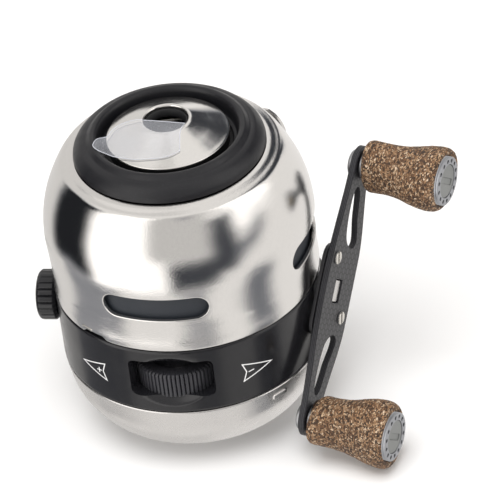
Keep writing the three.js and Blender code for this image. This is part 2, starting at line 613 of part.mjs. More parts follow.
const pinionShape = toothed(DRAG.pinionTeeth, pinionPitch + 0.7, pinionPitch - 1, 0.22, 0.4);
add('drag_pinion', slab(hole(polygon(pinionShape), 2.3), DRAG.low, DRAG.high)
  .rotateZ(radians(WHEEL.azimuth + 90) + Math.PI / DRAG.pinionTeeth)
  .translate(...wheelCentre, 0), brass());
add('drag_shaft', disc(2, PLATE.low, 54.4, 16).translate(...wheelCentre, 0), satinSteel());

const ribShape = toothed(WHEEL.ribs, WHEEL.radius, WHEEL.radius - 0.7, 0.5, 0.3);
add('drag_wheel', slab(hole(polygon(ribShape), 2.3), WHEEL.low, WHEEL.high)
  .translate(...wheelCentre, 0), blackPlastic());

// ---------------------------------------------------------------- anti-reverse selector

add('selector_knob', outwards(turn([[0, 32.9], [5.6, 32.9], [SELECTOR.radius, 33.6],
  [SELECTOR.radius, 37.6], [5.4, SELECTOR.reach], [0, SELECTOR.reach]], 20),
SELECTOR.azimuth, SELECTOR.z), blackPlastic());

// The selector's shaft ends in a pawl arm that hangs beside the ratchet on the pinion.
function selectorShaft() {
  const shaft = disc(1.5, 6.6, 32.6, 16);
  const pawl = block([-1.8, 1.8], [-SELECTOR.z + 17.4, 2.4], [6.6, 8]);
  return outwards(join(shaft, pawl), SELECTOR.azimuth, SELECTOR.z);
}

add('selector_shaft', selectorShaft(), darkSteel());

export default reel;
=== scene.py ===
"""Looks for a closed-face fishing reel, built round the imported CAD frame. Lengths are in millimetres
until a mesh is made, and MM turns them into metres."""

import json
import math

import bmesh
import bpy
from mathutils import Matrix, Vector, noise


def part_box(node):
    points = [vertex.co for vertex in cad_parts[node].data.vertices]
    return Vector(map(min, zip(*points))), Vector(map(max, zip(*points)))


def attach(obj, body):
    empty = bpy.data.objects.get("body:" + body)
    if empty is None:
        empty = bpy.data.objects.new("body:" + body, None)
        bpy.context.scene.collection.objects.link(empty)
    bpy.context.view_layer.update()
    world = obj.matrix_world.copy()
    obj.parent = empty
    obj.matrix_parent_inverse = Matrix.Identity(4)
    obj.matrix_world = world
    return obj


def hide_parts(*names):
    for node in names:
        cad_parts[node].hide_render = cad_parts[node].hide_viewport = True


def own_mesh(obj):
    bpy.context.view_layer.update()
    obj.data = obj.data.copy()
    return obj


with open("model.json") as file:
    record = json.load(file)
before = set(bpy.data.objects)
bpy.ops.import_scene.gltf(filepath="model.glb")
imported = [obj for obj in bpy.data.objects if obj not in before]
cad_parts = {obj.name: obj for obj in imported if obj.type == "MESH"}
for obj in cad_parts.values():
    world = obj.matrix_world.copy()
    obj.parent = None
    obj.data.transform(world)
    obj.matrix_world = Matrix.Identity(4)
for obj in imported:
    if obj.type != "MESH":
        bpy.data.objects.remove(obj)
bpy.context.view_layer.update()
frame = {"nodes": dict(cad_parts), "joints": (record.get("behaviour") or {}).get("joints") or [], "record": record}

MM = 0.001

# ---------- driving dimensions, from the frame


def node_box(name):
    low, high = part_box(name)
    return [v / MM for v in low], [v / MM for v in high]


JOINTS = {joint["name"]: joint for joint in frame["joints"]}


def joint_point(name):
    return Vector([v / MM for v in JOINTS[name]["pos_m"]])


BAND_LOW, BAND_HIGH, BAND_RADIUS = 20.0, 38.8, node_box("body_frame")[1][0]
COVER_LOW, COVER_TOP = node_box("front_cover")[0][2], node_box("front_cover")[1][2]
SHEET = 0.9
SLOT_CENTRES = [15 + 90 * i for i in range(4)]
SLOT_LOW, SLOT_HIGH, SLOT_SPAN = 48.4, 55.0, 46.3
WHEEL_AZIMUTH = 18.0
WHEEL_CENTRE = joint_point("drag_turn")
WHEEL_LOW, WHEEL_HIGH = node_box("drag_wheel")[0][2], node_box("drag_wheel")[1][2]
CRANK = joint_point("crank_turn")
ARM_LOW, ARM_HIGH = node_box("handle_arm")[0][0], node_box("handle_arm")[1][0]
ARM_HALF, ARM_TILT = 31.85, 40.0
KNOB_START, KNOB_LENGTH = node_box("upper_knob_grip")[0][0], 20.5
SELECTOR_AZIMUTH, SELECTOR_Z = -71.7, 30.9
CAMERA_AZIMUTH = 30.0


# ---------- small maths

def around(radius, azimuth):
    """Point at a radius and an azimuth, counted from -Y towards +X."""
    angle = math.radians(azimuth)
    return radius * math.sin(angle), -radius * math.cos(angle)


def smooth_curve(points, steps=6):
    """Catmull-Rom curve through the points."""
    ends = [points[0]] + list(points) + [points[-1]]
    out = []
    for i in range(1, len(ends) - 2):
        p0, p1, p2, p3 = (Vector(p) for p in ends[i - 1:i + 3])
        for k in range(steps):
            t = k / steps
            out.append(tuple(0.5 * (2 * p1 + (p2 - p0) * t + (2 * p0 - 5 * p1 + 4 * p2 - p3) * t * t
                                    + (3 * p1 - p0 - 3 * p2 + p3) * t ** 3)))
    return out + [tuple(points[-1])]


def fillet(points, radius=0.3, steps=3, closed=True):
    """Rounds the corners of an outline."""
    out = []
    count = len(points)
    for i, point in enumerate(points):
        p = Vector(point)
        if not closed and i in (0, count - 1):
            out.append(tuple(p))
            continue
        a = Vector(points[i - 1]) - p
        b = Vector(points[(i + 1) % count]) - p
        if a.length < 1e-6 or b.length < 1e-6 or a.angle(b) > math.radians(155):
            out.append(tuple(p))
            continue
        cut = min(radius, 0.45 * a.length, 0.45 * b.length)
        start, end = p + a.normalized() * cut, p + b.normalized() * cut
        for k in range(steps + 1):
            t = k / steps
            out.append(tuple((1 - t) ** 2 * start + 2 * t * (1 - t) * p + t * t * end))
    return out


def arc(centre, radius, start, end, steps):
    out = []
    for k in range(steps + 1):
        angle = math.radians(start + (end - start) * k / steps)
        out.append((centre[0] + radius * math.cos(angle), centre[1] + radius * math.sin(angle)))
    return out


def bezier(p0, p1, p2, p3, steps=12):
    out = []
    for k in range(1, steps + 1):
        t = k / steps
        s = 1 - t
        out.append(tuple(s ** 3 * a + 3 * s * s * t * b + 3 * s * t * t * c + t ** 3 * d
                         for a, b, c, d in zip(p0, p1, p2, p3)))
    return out


# The crank's matrices turn geometry made along Z so that it lies along +X on the crank's axis. On
# the arm's plane x runs across the arm, and y up the arm towards the upper knob.
CRANK_AXIS = (Matrix.Translation((0, CRANK.y, CRANK.z))
              @ Matrix(((0, 0, 1, 0), (1, 0, 0, 0), (0, 1, 0, 0), (0, 0, 0, 1))))
WHEEL_AXIS = Matrix.Translation((WHEEL_CENTRE.x, WHEEL_CENTRE.y, 0))
ARM_PLANE = CRANK_AXIS @ Matrix.Rotation(math.radians(-ARM_TILT), 4, "Z")


def outwards(azimuth, height):
    """Turns geometry made along Z so that it points away from the reel's axis."""
    return (Matrix.Translation((0, 0, height)) @ Matrix.Rotation(math.radians(azimuth), 4, "Z")
            @ Matrix.Rotation(math.radians(90), 4, "X"))


# ---------- materials

class Nodes:
    """Short-hands for procedural nodes in one tree. A value is a constant or another node's output."""

    def __init__(self, tree, coordinates):
        self.tree = tree
        self.place = tree.nodes.new("ShaderNodeTexCoord").outputs[coordinates]

    def feed(self, sockets, values):
        for socket, value in zip(sockets, values):
            if isinstance(value, bpy.types.NodeSocket):
                self.tree.links.new(value, socket)
            else:
                socket.default_value = value

    def node(self, kind, **inputs):
        made = self.tree.nodes.new(kind)
        self.feed([made.inputs[key.replace("_", " ")] for key in inputs], inputs.values())
        return made

    def mapped(self, scale=(1, 1, 1), rotation=(0, 0, 0), vector=None):
        return self.node("ShaderNodeMapping", Vector=vector or self.place, Scale=scale,
                         Rotation=rotation).outputs["Vector"]

    def noise(self, size, detail=3.0, roughness=0.5, vector=None):
        return self.node("ShaderNodeTexNoise", Vector=vector or self.place, Scale=1 / (size * MM),
                         Detail=detail, Roughness=roughness).outputs["Fac"]

    def cells(self, size, vector, feature="F1", output="Distance"):
        made = self.node("ShaderNodeTexVoronoi", Vector=vector, Scale=1 / (size * MM))
        made.feature = feature
        return made.outputs[output]

    def ramp(self, factor, stops):
        made = self.node("ShaderNodeValToRGB", Fac=factor)
        elements = made.color_ramp.elements
        while len(elements) < len(stops):
            elements.new(0.5)
        for element, (position, color) in zip(elements, stops):
            element.position = position
            element.color = (*color, 1)
        return made.outputs["Color"]

    def spread(self, factor, low, high, start=0.3, end=0.7):
        return self.node("ShaderNodeMapRange", Value=factor, From_Min=start, From_Max=end,
                         To_Min=low, To_Max=high).outputs["Result"]

    def math(self, operation, *values, clamp=False):
        made = self.tree.nodes.new("ShaderNodeMath")
        made.operation, made.use_clamp = operation, clamp
        self.feed(made.inputs, values)
        return made.outputs[0]

    def plus(self, a, b):
        return self.math("ADD", a, b)

    def times(self, a, b):
        return self.math("MULTIPLY", a, b)

    def vector(self, operation, *values):
        made = self.tree.nodes.new("ShaderNodeVectorMath")
        made.operation = operation
        self.feed(made.inputs, values)
        return made.outputs[0]

    def mix(self, factor, a, b):
        made = self.tree.nodes.new("ShaderNodeMix")
        made.data_type = "RGBA"
        colors = [c if isinstance(c, bpy.types.NodeSocket) else (*c, 1) for c in (a, b)]
        self.feed([made.inputs[i] for i in (0, 6, 7)], [factor, *colors])
        return made.outputs[2]


class Shader(Nodes):
    """A Principled material."""

    def __init__(self, name, color, metallic=0.0, roughness=0.5, **sockets):
        self.material = bpy.data.materials.new(name)
        self.material.use_nodes = True
        super().__init__(self.material.node_tree, "Object")
        self.bsdf = self.tree.nodes["Principled BSDF"]
        for socket, value in (("Base Color", (*color, 1)), ("Metallic", metallic),
                              ("Roughness", roughness), *sockets.items()):
            self.bsdf.inputs[socket.replace("_", " ")].default_value = value

    def link(self, output, socket):
        self.tree.links.new(output, self.bsdf.inputs[socket])

    def bump(self, height, depth, after=None):
        made = self.node("ShaderNodeBump", Height=height, Strength=1.0, Distance=depth * MM)
        if after is not None:
            self.tree.links.new(after, made.inputs["Normal"])
        self.link(made.outputs["Normal"], "Normal")
        return made.outputs["Normal"]


def steel(name, color, roughness, spread, grain, streaks=0.0):
    """Steel with a fine polishing grain, faint cloudy wear and optional turned streaks."""
    shader = Shader(name, color, 1.0, roughness)
    clouds = shader.noise(9.0, 4.0, 0.6)
    fine = shader.noise(0.45, 4.0, 0.7)
    rough = shader.plus(shader.spread(clouds, roughness - spread, roughness + spread),
                        shader.spread(fine, -0.03, 0.05))
    shader.link(rough, "Roughness")
    tint = shader.mix(shader.spread(fine, 0.0, 1.0), [c * 0.94 for c in color], color)
    shader.link(tint, "Base Color")
    normal = shader.bump(fine, grain)
    if streaks:
        turned = shader.noise(0.5, 2.0, vector=shader.mapped((0.03, 0.03, 1.6)))
        shader.bump(turned, streaks, after=normal)
    return shader.material


def plastic(name, color, roughness, peel=0.004, speck=0.03):
    """Moulded plastic: slight orange peel, uneven gloss and a few dust-like specks."""
    shader = Shader(name, color, 0.0, roughness)
    gloss = shader.noise(6.0, 5.0, 0.65)
    shader.link(shader.spread(gloss, roughness - 0.05, roughness + 0.09), "Roughness")
    dust = shader.spread(shader.noise(0.35, 2.0), 0.0, speck, 0.66, 0.8)
    shader.link(shader.mix(dust, color, (0.5, 0.5, 0.5)), "Base Color")
    shader.bump(shader.noise(1.1, 3.0, 0.6), peel)
    return shader.material


def rubber():
    shader = Shader("ring_rubber", (0.010, 0.010, 0.013), 0.0, 0.45, Specular_IOR_Level=0.36)
    shader.link(shader.spread(shader.noise(5.0, 4.0, 0.6), 0.28, 0.5), "Roughness")
    marks = shader.spread(shader.noise(0.5, 3.0, 0.6), 0.0, 0.12, 0.55, 0.85)
    shader.link(shader.mix(marks, (0.012, 0.012, 0.014), (0.09, 0.09, 0.1)), "Base Color")
    shader.bump(shader.noise(0.35, 3.0, 0.6), 0.012)
    return shader.material


def cork():
    """Pressed cork crumbs in dark binder: small angular grains from nearly black to light tan."""
    shader = Shader("cork_composite", (0.24, 0.15, 0.095), 0.0, 0.85)
    wobble = shader.node("ShaderNodeTexNoise", Vector=shader.place, Scale=1300.0, Detail=2.0)
    warped = shader.vector("MULTIPLY_ADD", wobble.outputs["Color"], (0.0009,) * 3, shader.place)
    stretched = shader.mapped((1.0, 0.55, 0.8), (0.5, 0.4, 0.9), warped)
    grains = shader.cells(0.35, stretched, output="Color")
    single = shader.node("ShaderNodeSeparateColor", Color=grains).outputs["Red"]
    color = shader.ramp(single, [(0.0, (0.012, 0.007, 0.005)), (0.22, (0.05, 0.024, 0.013)),
        (0.42, (0.17, 0.085, 0.042)), (0.64, (0.34, 0.19, 0.095)), (0.86, (0.52, 0.35, 0.21)),
        (1.0, (0.72, 0.56, 0.40))])
    seams = shader.spread(shader.cells(0.35, stretched, "DISTANCE_TO_EDGE"), 0.8, 0.0, 0.0, 0.16)
    darker = shader.mix(seams, color, (0.03, 0.018, 0.012))
    tiny = shader.spread(shader.noise(0.16, 3.0, 0.7), 0.0, 0.3, 0.45, 0.7)
    shader.link(shader.mix(tiny, darker, (0.34, 0.21, 0.13)), "Base Color")
    shader.link(shader.spread(single, 0.62, 0.95, 0.0, 1.0), "Roughness")
    lumps = shader.plus(shader.times(single, 0.6),
                        shader.spread(seams, 0.7, 0.0, 0.0, 0.8))
    first = shader.bump(lumps, 0.12)
    shader.bump(shader.noise(0.18, 3.0, 0.7), 0.05, after=first)
    return shader.material


def carbon():
    """Plain carbon weave under satin resin: crossing tows, with painted sheen that makes one direction brighter
    than the other and lightens each tow's crown.
    """
    shader = Shader("carbon_plate", (0.03, 0.032, 0.036), 0.0, 0.42)
    flat = shader.mapped(rotation=(math.radians(ARM_TILT), 0, 0))
    axes = shader.node("ShaderNodeSeparateXYZ", Vector=flat)
    tow = 1.3 * MM
    across = shader.math("DIVIDE", axes.outputs["Y"], tow)
    along = shader.math("DIVIDE", axes.outputs["Z"], tow)
    parity = shader.math("MODULO", shader.plus(shader.math("FLOOR", across),
                                              shader.plus(shader.math("FLOOR", along), 200.0)), 2.0)
    hump_a = shader.math("SINE", shader.times(shader.math("FRACT", across), math.pi))
    hump_b = shader.math("SINE", shader.times(shader.math("FRACT", along), math.pi))
    height = shader.plus(shader.times(hump_a, parity),
                         shader.times(hump_b, shader.math("SUBTRACT", 1.0, parity)))
    fibres = shader.noise(0.12, 2.0, vector=shader.mapped((1, 0.2, 1)))
    # Painted sheen: the colour is lighter on the tow crowns (height) and on one weave direction (parity), where
    # light would catch them; the fibres add random tone.
    level = shader.plus(shader.times(height, 0.55),
                        shader.plus(shader.times(parity, 0.25),
                                    shader.times(fibres, 0.2)))
    shader.link(shader.ramp(level, [(0.0, (0.010, 0.010, 0.012)), (0.55, (0.022, 0.022, 0.026)),
                                    (1.0, (0.045, 0.045, 0.052))]), "Base Color")
    shader.link(shader.spread(level, 0.52, 0.38, 0.1, 0.9), "Roughness")
    shader.bump(height, 0.015)
    return shader.material


def laminate():
    """The arm's cut edge, with its layers showing as fine lines along the plate."""
    shader = Shader("carbon_edge", (0.03, 0.03, 0.034), 0.0, 0.5, Specular_IOR_Level=0.3)
    axes = shader.node("ShaderNodeSeparateXYZ", Vector=shader.place)
    layers = shader.math("SINE", shader.times(axes.outputs["X"], 2 * math.pi / (0.42 * MM)))
    fuzz = shader.plus(shader.times(layers, 0.5), shader.noise(0.4, 3.0))
    shader.link(shader.ramp(shader.spread(fuzz, 0.0, 1.0, 0.0, 1.2),
                            [(0.0, (0.010, 0.010, 0.012)), (1.0, (0.05, 0.05, 0.055))]), "Base Color")
    shader.bump(layers, 0.01)
    return shader.material


def film(name, alpha):
    """Clear film with a faint milky tint, a little cloudier where it has been handled."""
    shader = Shader(name, (0.74, 0.76, 0.82), 0.0, 0.12, Alpha=alpha, IOR=1.4, Specular_IOR_Level=0.25)
    shader.link(shader.spread(shader.noise(6.0, 1.0), alpha * 0.85, alpha * 1.15), "Alpha")
    return shader.material


def nylon():
    shader = Shader("nylon_line", (0.62, 0.68, 0.62), 0.0, 0.3)
    axes = shader.node("ShaderNodeSeparateXYZ", Vector=shader.place)
    turns = shader.math("SINE", shader.times(axes.outputs["Z"], 2 * math.pi / (0.35 * MM)))
    # Painted shade and highlight: the wave that bumps the windings also darkens the grooves between turns and
    # lightens their crowns; the noise adds random tone.
    turn_shade_and_tone = shader.plus(turns, shader.noise(0.8, 3.0))
    shader.link(shader.ramp(shader.spread(turn_shade_and_tone, 0.0, 1.0, -1.0, 1.6),
                            [(0.0, (0.30, 0.35, 0.31)), (1.0, (0.78, 0.83, 0.77))]), "Base Color")
    shader.bump(turns, 0.08)
    return shader.material


POLISHED = steel("polished_steel", (0.80, 0.785, 0.765), 0.075, 0.02, 0.03)
CONE_STEEL = steel("cone_steel", (0.84, 0.825, 0.80), 0.11, 0.03, 0.01)
SATIN = steel("satin_steel", (0.72, 0.705, 0.69), 0.27, 0.08, 0.012, 0.015)
DARK_STEEL = steel("dark_steel", (0.34, 0.345, 0.355), 0.34, 0.06, 0.008)
NICKEL = steel("nickel_screws", (0.74, 0.71, 0.66), 0.22, 0.05, 0.006)
BRASS = steel("brass_gear", (0.72, 0.53, 0.24), 0.28, 0.06, 0.008, 0.01)
CAP_GREY = steel("grey_aluminium", (0.42, 0.43, 0.455), 0.4, 0.05, 0.006)
CAP_BRUSHED = steel("brushed_aluminium", (0.33, 0.34, 0.335), 0.45, 0.04, 0.004, 0.02)
BLACK = plastic("black_plastic", (0.011, 0.011, 0.013), 0.17)
# The wheel's black is lifted above the band's black as painted light, so the wheel reads as lit inside its shaded
# well.
WHEEL_LIFTED_BLACK = plastic("wheel_plastic_lifted", (0.034, 0.034, 0.04), 0.3)
# This near-black, dull plastic is painted shade: it goes on the cone's skirt, the line guide, the wheel well and
# under the cap holes so these hollows read as shaded.
SHADE_BLACK = plastic("painted_shade_black", (0.006, 0.006, 0.007), 0.55, speck=0.0)
LINER = plastic("grey_plastic", (0.028, 0.033, 0.042), 0.55, speck=0.01)
ANODISED = plastic("anodised_black", (0.016, 0.016, 0.018), 0.38, 0.002)
CERAMIC = plastic("white_ceramic", (0.80, 0.79, 0.75), 0.25, 0.001, 0.0)
PAINT = plastic("white_paint", (0.86, 0.86, 0.86), 0.5, 0.002, 0.0)
RUBBER, CORK, CARBON, EDGE, NYLON = rubber(), cork(), carbon(), laminate(), nylon()
FILM, FILM_EDGE = film("clear_film", 0.13), film("clear_film_edge", 0.5)


# ---------- mesh making

def stitch(rows, ring=True, around_again=False):
    """Four-sided faces between rows of point numbers, each row a ring or an open line."""
    pairs = list(zip(rows, rows[1:])) + ([(rows[-1], rows[0])] if around_again else [])
    return [[a[k], a[(k + 1) % len(a)], b[(k + 1) % len(a)], b[k]]
            for a, b in pairs for k in range(len(a) if ring else len(a) - 1)]


def numbered(count, size, start=0):
    """Point numbers of rows that follow each other, each of one size."""
    return [list(range(start + i * size, start + (i + 1) * size)) for i in range(count)]


def finish_piece(name, mesh_data, materials, body, slot, replaces=(), matrix=None, sharp=40):
    """Makes an object in the row frame from (points in mm, faces), and rides it on its body."""
    points, faces = mesh_data[:2]
    mesh = bpy.data.meshes.new(name)
    made = bmesh.new()
    place = matrix or Matrix.Identity(4)
    verts = [made.verts.new(place @ Vector(p) * MM) for p in points]
    for face in faces:
        if len(set(face)) > 2:
            try:
                made.faces.new([verts[i] for i in face])
            except ValueError:
                pass
    bmesh.ops.remove_doubles(made, verts=made.verts, dist=1e-6)
    bmesh.ops.recalc_face_normals(made, faces=made.faces)
    made.to_mesh(mesh)
    made.free()
    return wrap(name, mesh, materials, body, slot, replaces, sharp)


def add_object(name, data):
    made = bpy.data.objects.new(name, data)
    bpy.context.scene.collection.objects.link(made)
    return made


def wrap(name, mesh, materials, body, slot, replaces=(), sharp=40):
    for material in materials if isinstance(materials, (list, tuple)) else [materials]:
        mesh.materials.append(material)
    mesh.polygons.foreach_set("use_smooth", [True] * len(mesh.polygons))
    mesh.set_sharp_from_angle(angle=math.radians(sharp))
    piece = add_object(name, mesh)
    even = piece.modifiers.new("even normals", "WEIGHTED_NORMAL")
    even.keep_sharp = True
    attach(piece, body)
    if replaces:
        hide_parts(*replaces)
    return piece


def revolve(profile, columns=144, closed=True, warp=None, start=0.0, sweep=360.0):
    """Points and faces of a profile of (radius, height) turned about Z. Ends at radius 0 close."""
    whole = abs(sweep - 360) < 1e-6
    count = columns if whole else columns + 1
    points, rows = [], []
    for row, (radius, height) in enumerate(profile):
        if radius < 1e-6:
            rows.append([len(points)] * count)
            points.append((0, 0, height))
            continue
        rows.append(range(len(points), len(points) + count))
        for k in range(count):
            angle = math.radians(start + sweep * k / columns)
            r, h = warp(angle, radius, height, row) if warp else (radius, height)
            points.append((r * math.cos(angle), r * math.sin(angle), h))
    faces = stitch(rows, whole, closed)
    if not whole:
        faces.append([row[0] for row in rows])
        faces.append([row[-1] for row in reversed(rows)])
    return points, [list(dict.fromkeys(f)) for f in faces]


def turned(name, profile, material, body, slot, replaces=(), columns=144, round_by=0.25, matrix=None,
        warp=None, closed=True):
    outline = fillet(profile, round_by, closed=closed) if round_by else profile
    return finish_piece(name, revolve(outline, columns, closed, warp), material, body, slot,
                        replaces, matrix)


def plate(name, outlines, low, high, bevel, material, body, slot, replaces=(), matrix=None, edge=None):
    """A flat piece with holes: closed outlines of (x, y), with bevelled edges."""
    curve = bpy.data.curves.new(name, "CURVE")
    curve.dimensions, curve.fill_mode = "2D", "BOTH"
    for outline in outlines:
        spline = curve.splines.new("POLY")
        spline.points.add(len(outline) - 1)
        for point, (x, y) in zip(spline.points, outline):
            point.co = (x * MM, y * MM, 0, 1)
        spline.use_cyclic_u = True
    curve.extrude = (high - low) / 2 * MM - bevel * MM
    curve.bevel_depth, curve.bevel_resolution, curve.offset = bevel * MM, 2, -bevel * MM
    helper = add_object(name + "_outline", curve)
    bpy.context.view_layer.update()
    mesh = bpy.data.meshes.new_from_object(helper.evaluated_get(bpy.context.evaluated_depsgraph_get()))
    bpy.data.objects.remove(helper)
    bpy.data.curves.remove(curve)
    mesh.materials.clear()
    lift = Matrix.Translation((0, 0, (low + high) / 2 * MM))
    place = (matrix or Matrix.Identity(4)).copy()
    place.translation *= MM
    made = bmesh.new()
    made.from_mesh(mesh)
    bmesh.ops.remove_doubles(made, verts=made.verts, dist=2e-6)
    bmesh.ops.recalc_face_normals(made, faces=made.faces)
    if edge is not None:
        for face in made.faces:
            face.material_index = 0 if abs(face.normal.z) > 0.5 else 1
    bmesh.ops.transform(made, matrix=place @ lift, verts=made.verts)
    made.to_mesh(mesh)
    made.free()
    return wrap(name, mesh, [material, edge] if edge else material, body, slot, replaces, 35)


def smooth_min(a, b, width):
    blend = max(width - abs(a - b), 0.0) / width
    return min(a, b) - blend * blend * width / 4


# ---------- front cover

COVER_OUTLINE = smooth_curve([(33.0, 40.6), (32.9, 43.5), (32.95, 47.5), (33.2, 52), (33.35, 56),
    (32.95, 60.5), (31.95, 64.8), (30.6, 68.4), (29.0, 71.7), (27.9, 73.6), (26.9, 74.8), (25.6, 75.4),
    (24.6, 75.9), (23.6, COVER_TOP)], 5)


def look_up(table, place, otherwise):
    """Value at a place in a table of (place, value)."""
    for (x0, y0), (x1, y1) in zip(table, table[1:]):
        if x0 <= place <= x1:
            return y0 + (y1 - y0) * (place - x0) / max(x1 - x0, 1e-9)
    return otherwise


def cover_radius(height):
    return look_up([(z, r) for r, z in COVER_OUTLINE], height, COVER_OUTLINE[0][0])


SECTOR_COLUMNS, SIDE_ROWS = 40, 8
ZONE_LOW, ZONE_HIGH = 45.6, 57.8
SLOT_Z = (SLOT_LOW + SLOT_HIGH) / 2
SLOT_RADIUS = (SLOT_HIGH - SLOT_LOW) / 2
FLAT_RADIUS = 33.0
SLOT_HALF = math.radians(SLOT_SPAN / 2) * FLAT_RADIUS - SLOT_RADIUS
SECTOR_HALF = math.radians(45) * FLAT_RADIUS
NOTCH_AZIMUTH, NOTCH_HALF, NOTCH_TOP = -17.2, 5.7, 40.3


def sector_border():
    """Matching points round a sector's rectangle and round its slot, as unit offsets."""
    side, width = SIDE_ROWS // 2, SECTOR_COLUMNS
    turn = 5
    lower = []
    for k in range(-side, width + side + 1):
        if k <= 0:
            rect = (-SECTOR_HALF, (ZONE_LOW - SLOT_Z) * (k + side) / side)
        elif k >= width:
            rect = (SECTOR_HALF, (ZONE_LOW - SLOT_Z) * (width + side - k) / side)
        else:
            rect = (-SECTOR_HALF + 2 * SECTOR_HALF * k / width, ZONE_LOW - SLOT_Z)
        bend = side + turn
        step = k + side
        if step <= bend:
            angle = math.radians(180 + 90 * step / bend)
            anchor = (-SLOT_HALF, math.cos(angle), math.sin(angle))
        elif step >= width + 2 * side - bend:
            angle = math.radians(360 - 90 * (width + 2 * side - step) / bend)
            anchor = (SLOT_HALF, math.cos(angle), math.sin(angle))
        else:
            span = width + 2 * side - 2 * bend
            anchor = (-SLOT_HALF + 2 * SLOT_HALF * (step - bend) / span, 0.0, -1.0)
        lower.append((rect, anchor))
    high = (ZONE_HIGH - SLOT_Z) / (SLOT_Z - ZONE_LOW)
    upper = [((-rx, -ry * high), (-cx, -ux, -uy)) for (rx, ry), (cx, ux, uy) in lower]
    return lower[:-1] + upper[:-1]


def slot_point(anchor, grow):
    return anchor[0] + anchor[1] * (SLOT_RADIUS + grow), anchor[2] * (SLOT_RADIUS + grow)


def cover_point(centre, offset, depth):
    """A point on the cover from its place along and up a sector, and its depth under the skin."""
    height = SLOT_Z + offset[1]
    radius = cover_radius(height) - depth
    angle = math.radians(centre) + offset[0] / FLAT_RADIUS
    return radius * math.sin(angle), -radius * math.cos(angle), height


def front_cover():
    points, faces = [], []
    border = sector_border()
    lip = [(1.2, 0.0), (0.3, 0.0), (0.15, 0.015), (0.07, 0.05), (0.02, 0.11), (0.0, 0.22)]
    rings = [("blend", t) for t in (0.0, 0.35, 0.7)] + [("lip", *v) for v in lip]
    rings += [("lip", 0.0, SHEET), ("lip", 1.0, SHEET), ("inner", 0.0, SHEET)]
    for centre in SLOT_CENTRES:
        loops = []
        for ring in rings:
            loop = []
            for rect, anchor in border:
                if ring[0] == "lip":
                    offset, depth = slot_point(anchor, ring[1]), ring[2]
                elif ring[0] == "blend":
                    near = slot_point(anchor, 1.2)
                    offset = tuple(a + (b - a) * ring[1] for a, b in zip(rect, near))
                    depth = 0.0
                else:
                    offset, depth = rect, ring[2]
                loop.append(len(points))
                points.append(cover_point(centre, offset, depth))
            loops.append(loop)
        faces += stitch(loops)
    columns = 4 * SECTOR_COLUMNS
    lower_rows = [(32.2, COVER_LOW + 0.3), (32.35, COVER_LOW), (32.85, COVER_LOW),
        (33.0, COVER_LOW + 0.12), (33.04, COVER_LOW + 0.4), (33.02, 40.7)]
    lower_rows += [(cover_radius(z), z) for z in (41.5, 42.5, 43.5, 44.5, ZONE_LOW)]
    upper_rows = [(cover_radius(ZONE_HIGH), ZONE_HIGH)]
    upper_rows += [p for p in COVER_OUTLINE if p[1] > ZONE_HIGH + 0.3]
    upper_rows += [(20, COVER_TOP), (12.3, COVER_TOP), (12, COVER_TOP - 0.3), (12.2, COVER_TOP - SHEET)]
    inner_top = [(r - SHEET, z - 0.4) for r, z in reversed(COVER_OUTLINE) if z > ZONE_HIGH + 0.6]
    upper_rows += [(22.6, COVER_TOP - SHEET)] + [p for p in inner_top if p[1] < COVER_TOP - 1]
    upper_rows += [(cover_radius(ZONE_HIGH) - SHEET, ZONE_HIGH)]
    inner_low = [(cover_radius(ZONE_LOW) - SHEET, ZONE_LOW), (32.1, 43), (32.15, 40.8), lower_rows[0]]

    def notched(angle, radius, height, _row):
        away = (math.degrees(angle) + 90 - NOTCH_AZIMUTH + 180) % 360 - 180
        if abs(away) < NOTCH_HALF and height < NOTCH_TOP:
            return radius - 0.05, max(height, NOTCH_TOP - 0.05)
        return radius, height

    start = SLOT_CENTRES[0] - 45 - 90
    for rows, warp in ((lower_rows, notched), (upper_rows, None), (inner_low, notched)):
        more, more_faces = revolve(rows, columns, closed=False, warp=warp, start=start)
        faces += [[i + len(points) for i in f] for f in more_faces]
        points += more
    return finish_piece("front_cover_shell", (points, faces), POLISHED, "cover", "polished_steel",
                        ["front_cover"], sharp=50)


front_cover()
turned("slot_liner", [(30.3, 46.2), (31.4, 46.2), (31.4, 58), (30.3, 58)], LINER, "cover", "grey_plastic",
    ["cover_liner"])


# ---------- nose

turned("nose_ring_rubber", smooth_curve([(15.7, 76.55), (19.5, 76.5), (23.2, 76.5), (23.5, 77.1),
    (23.3, 78.0), (22.6, 79.0), (21.6, 79.9), (20.7, 80.3), (20.0, 80.5), (19.45, 80.95), (18.8, 81.45),
    (18.0, 81.45), (17.4, 80.9), (17.1, 79.6), (16.95, 78.2), (16.6, 77.5), (15.8, 77.35), (15.7, 76.95)],
    4), RUBBER, "cover", "ring_rubber", ["nose_ring"], round_by=0)
# The cone's lower wall is drawn in the near-black shade plastic instead of steel: painted shade in the groove
# between ring and cone.
turned("nose_cone_skirt_shade", [(13.4, 76.5), (15.65, 76.5), (15.65, 77.0), (14.75, 77.2), (14.65, 79.95),
    (13.3, 79.95)], SHADE_BLACK, "cover", "dark_steel", round_by=0.1)
turned("nose_cone_steel", [(13.9, 79.75), (14.5, 79.72), (14.95, 79.85), (15.1, 80.15), (14.98, 80.45),
    (14.6, 80.62), (13.6, 81.05), (12.2, 81.75), (10.5, 82.5), (8.8, 83.3), (7.5, 83.95), (6.7, 84.32),
    (6.2, 84.62), (5.85, 84.7), (5.55, 84.58), (5.42, 84.25), (5.4, 83.5), (9, 82.2), (13.1, 80.3)],
    CONE_STEEL, "cover", "polished_steel", ["nose_cone"], round_by=0.1)
# The line guide is drawn in the near-black shade plastic: painted shade inside the line hole.
turned("line_guide_ring", [(4.4, 82.0), (5.3, 82.0), (5.33, 83.7), (5.2, 83.9), (4.9, 83.8), (4.5, 83.0)],
    SHADE_BLACK, "cover", "dark_steel", ["line_guide"], 96, 0.15)


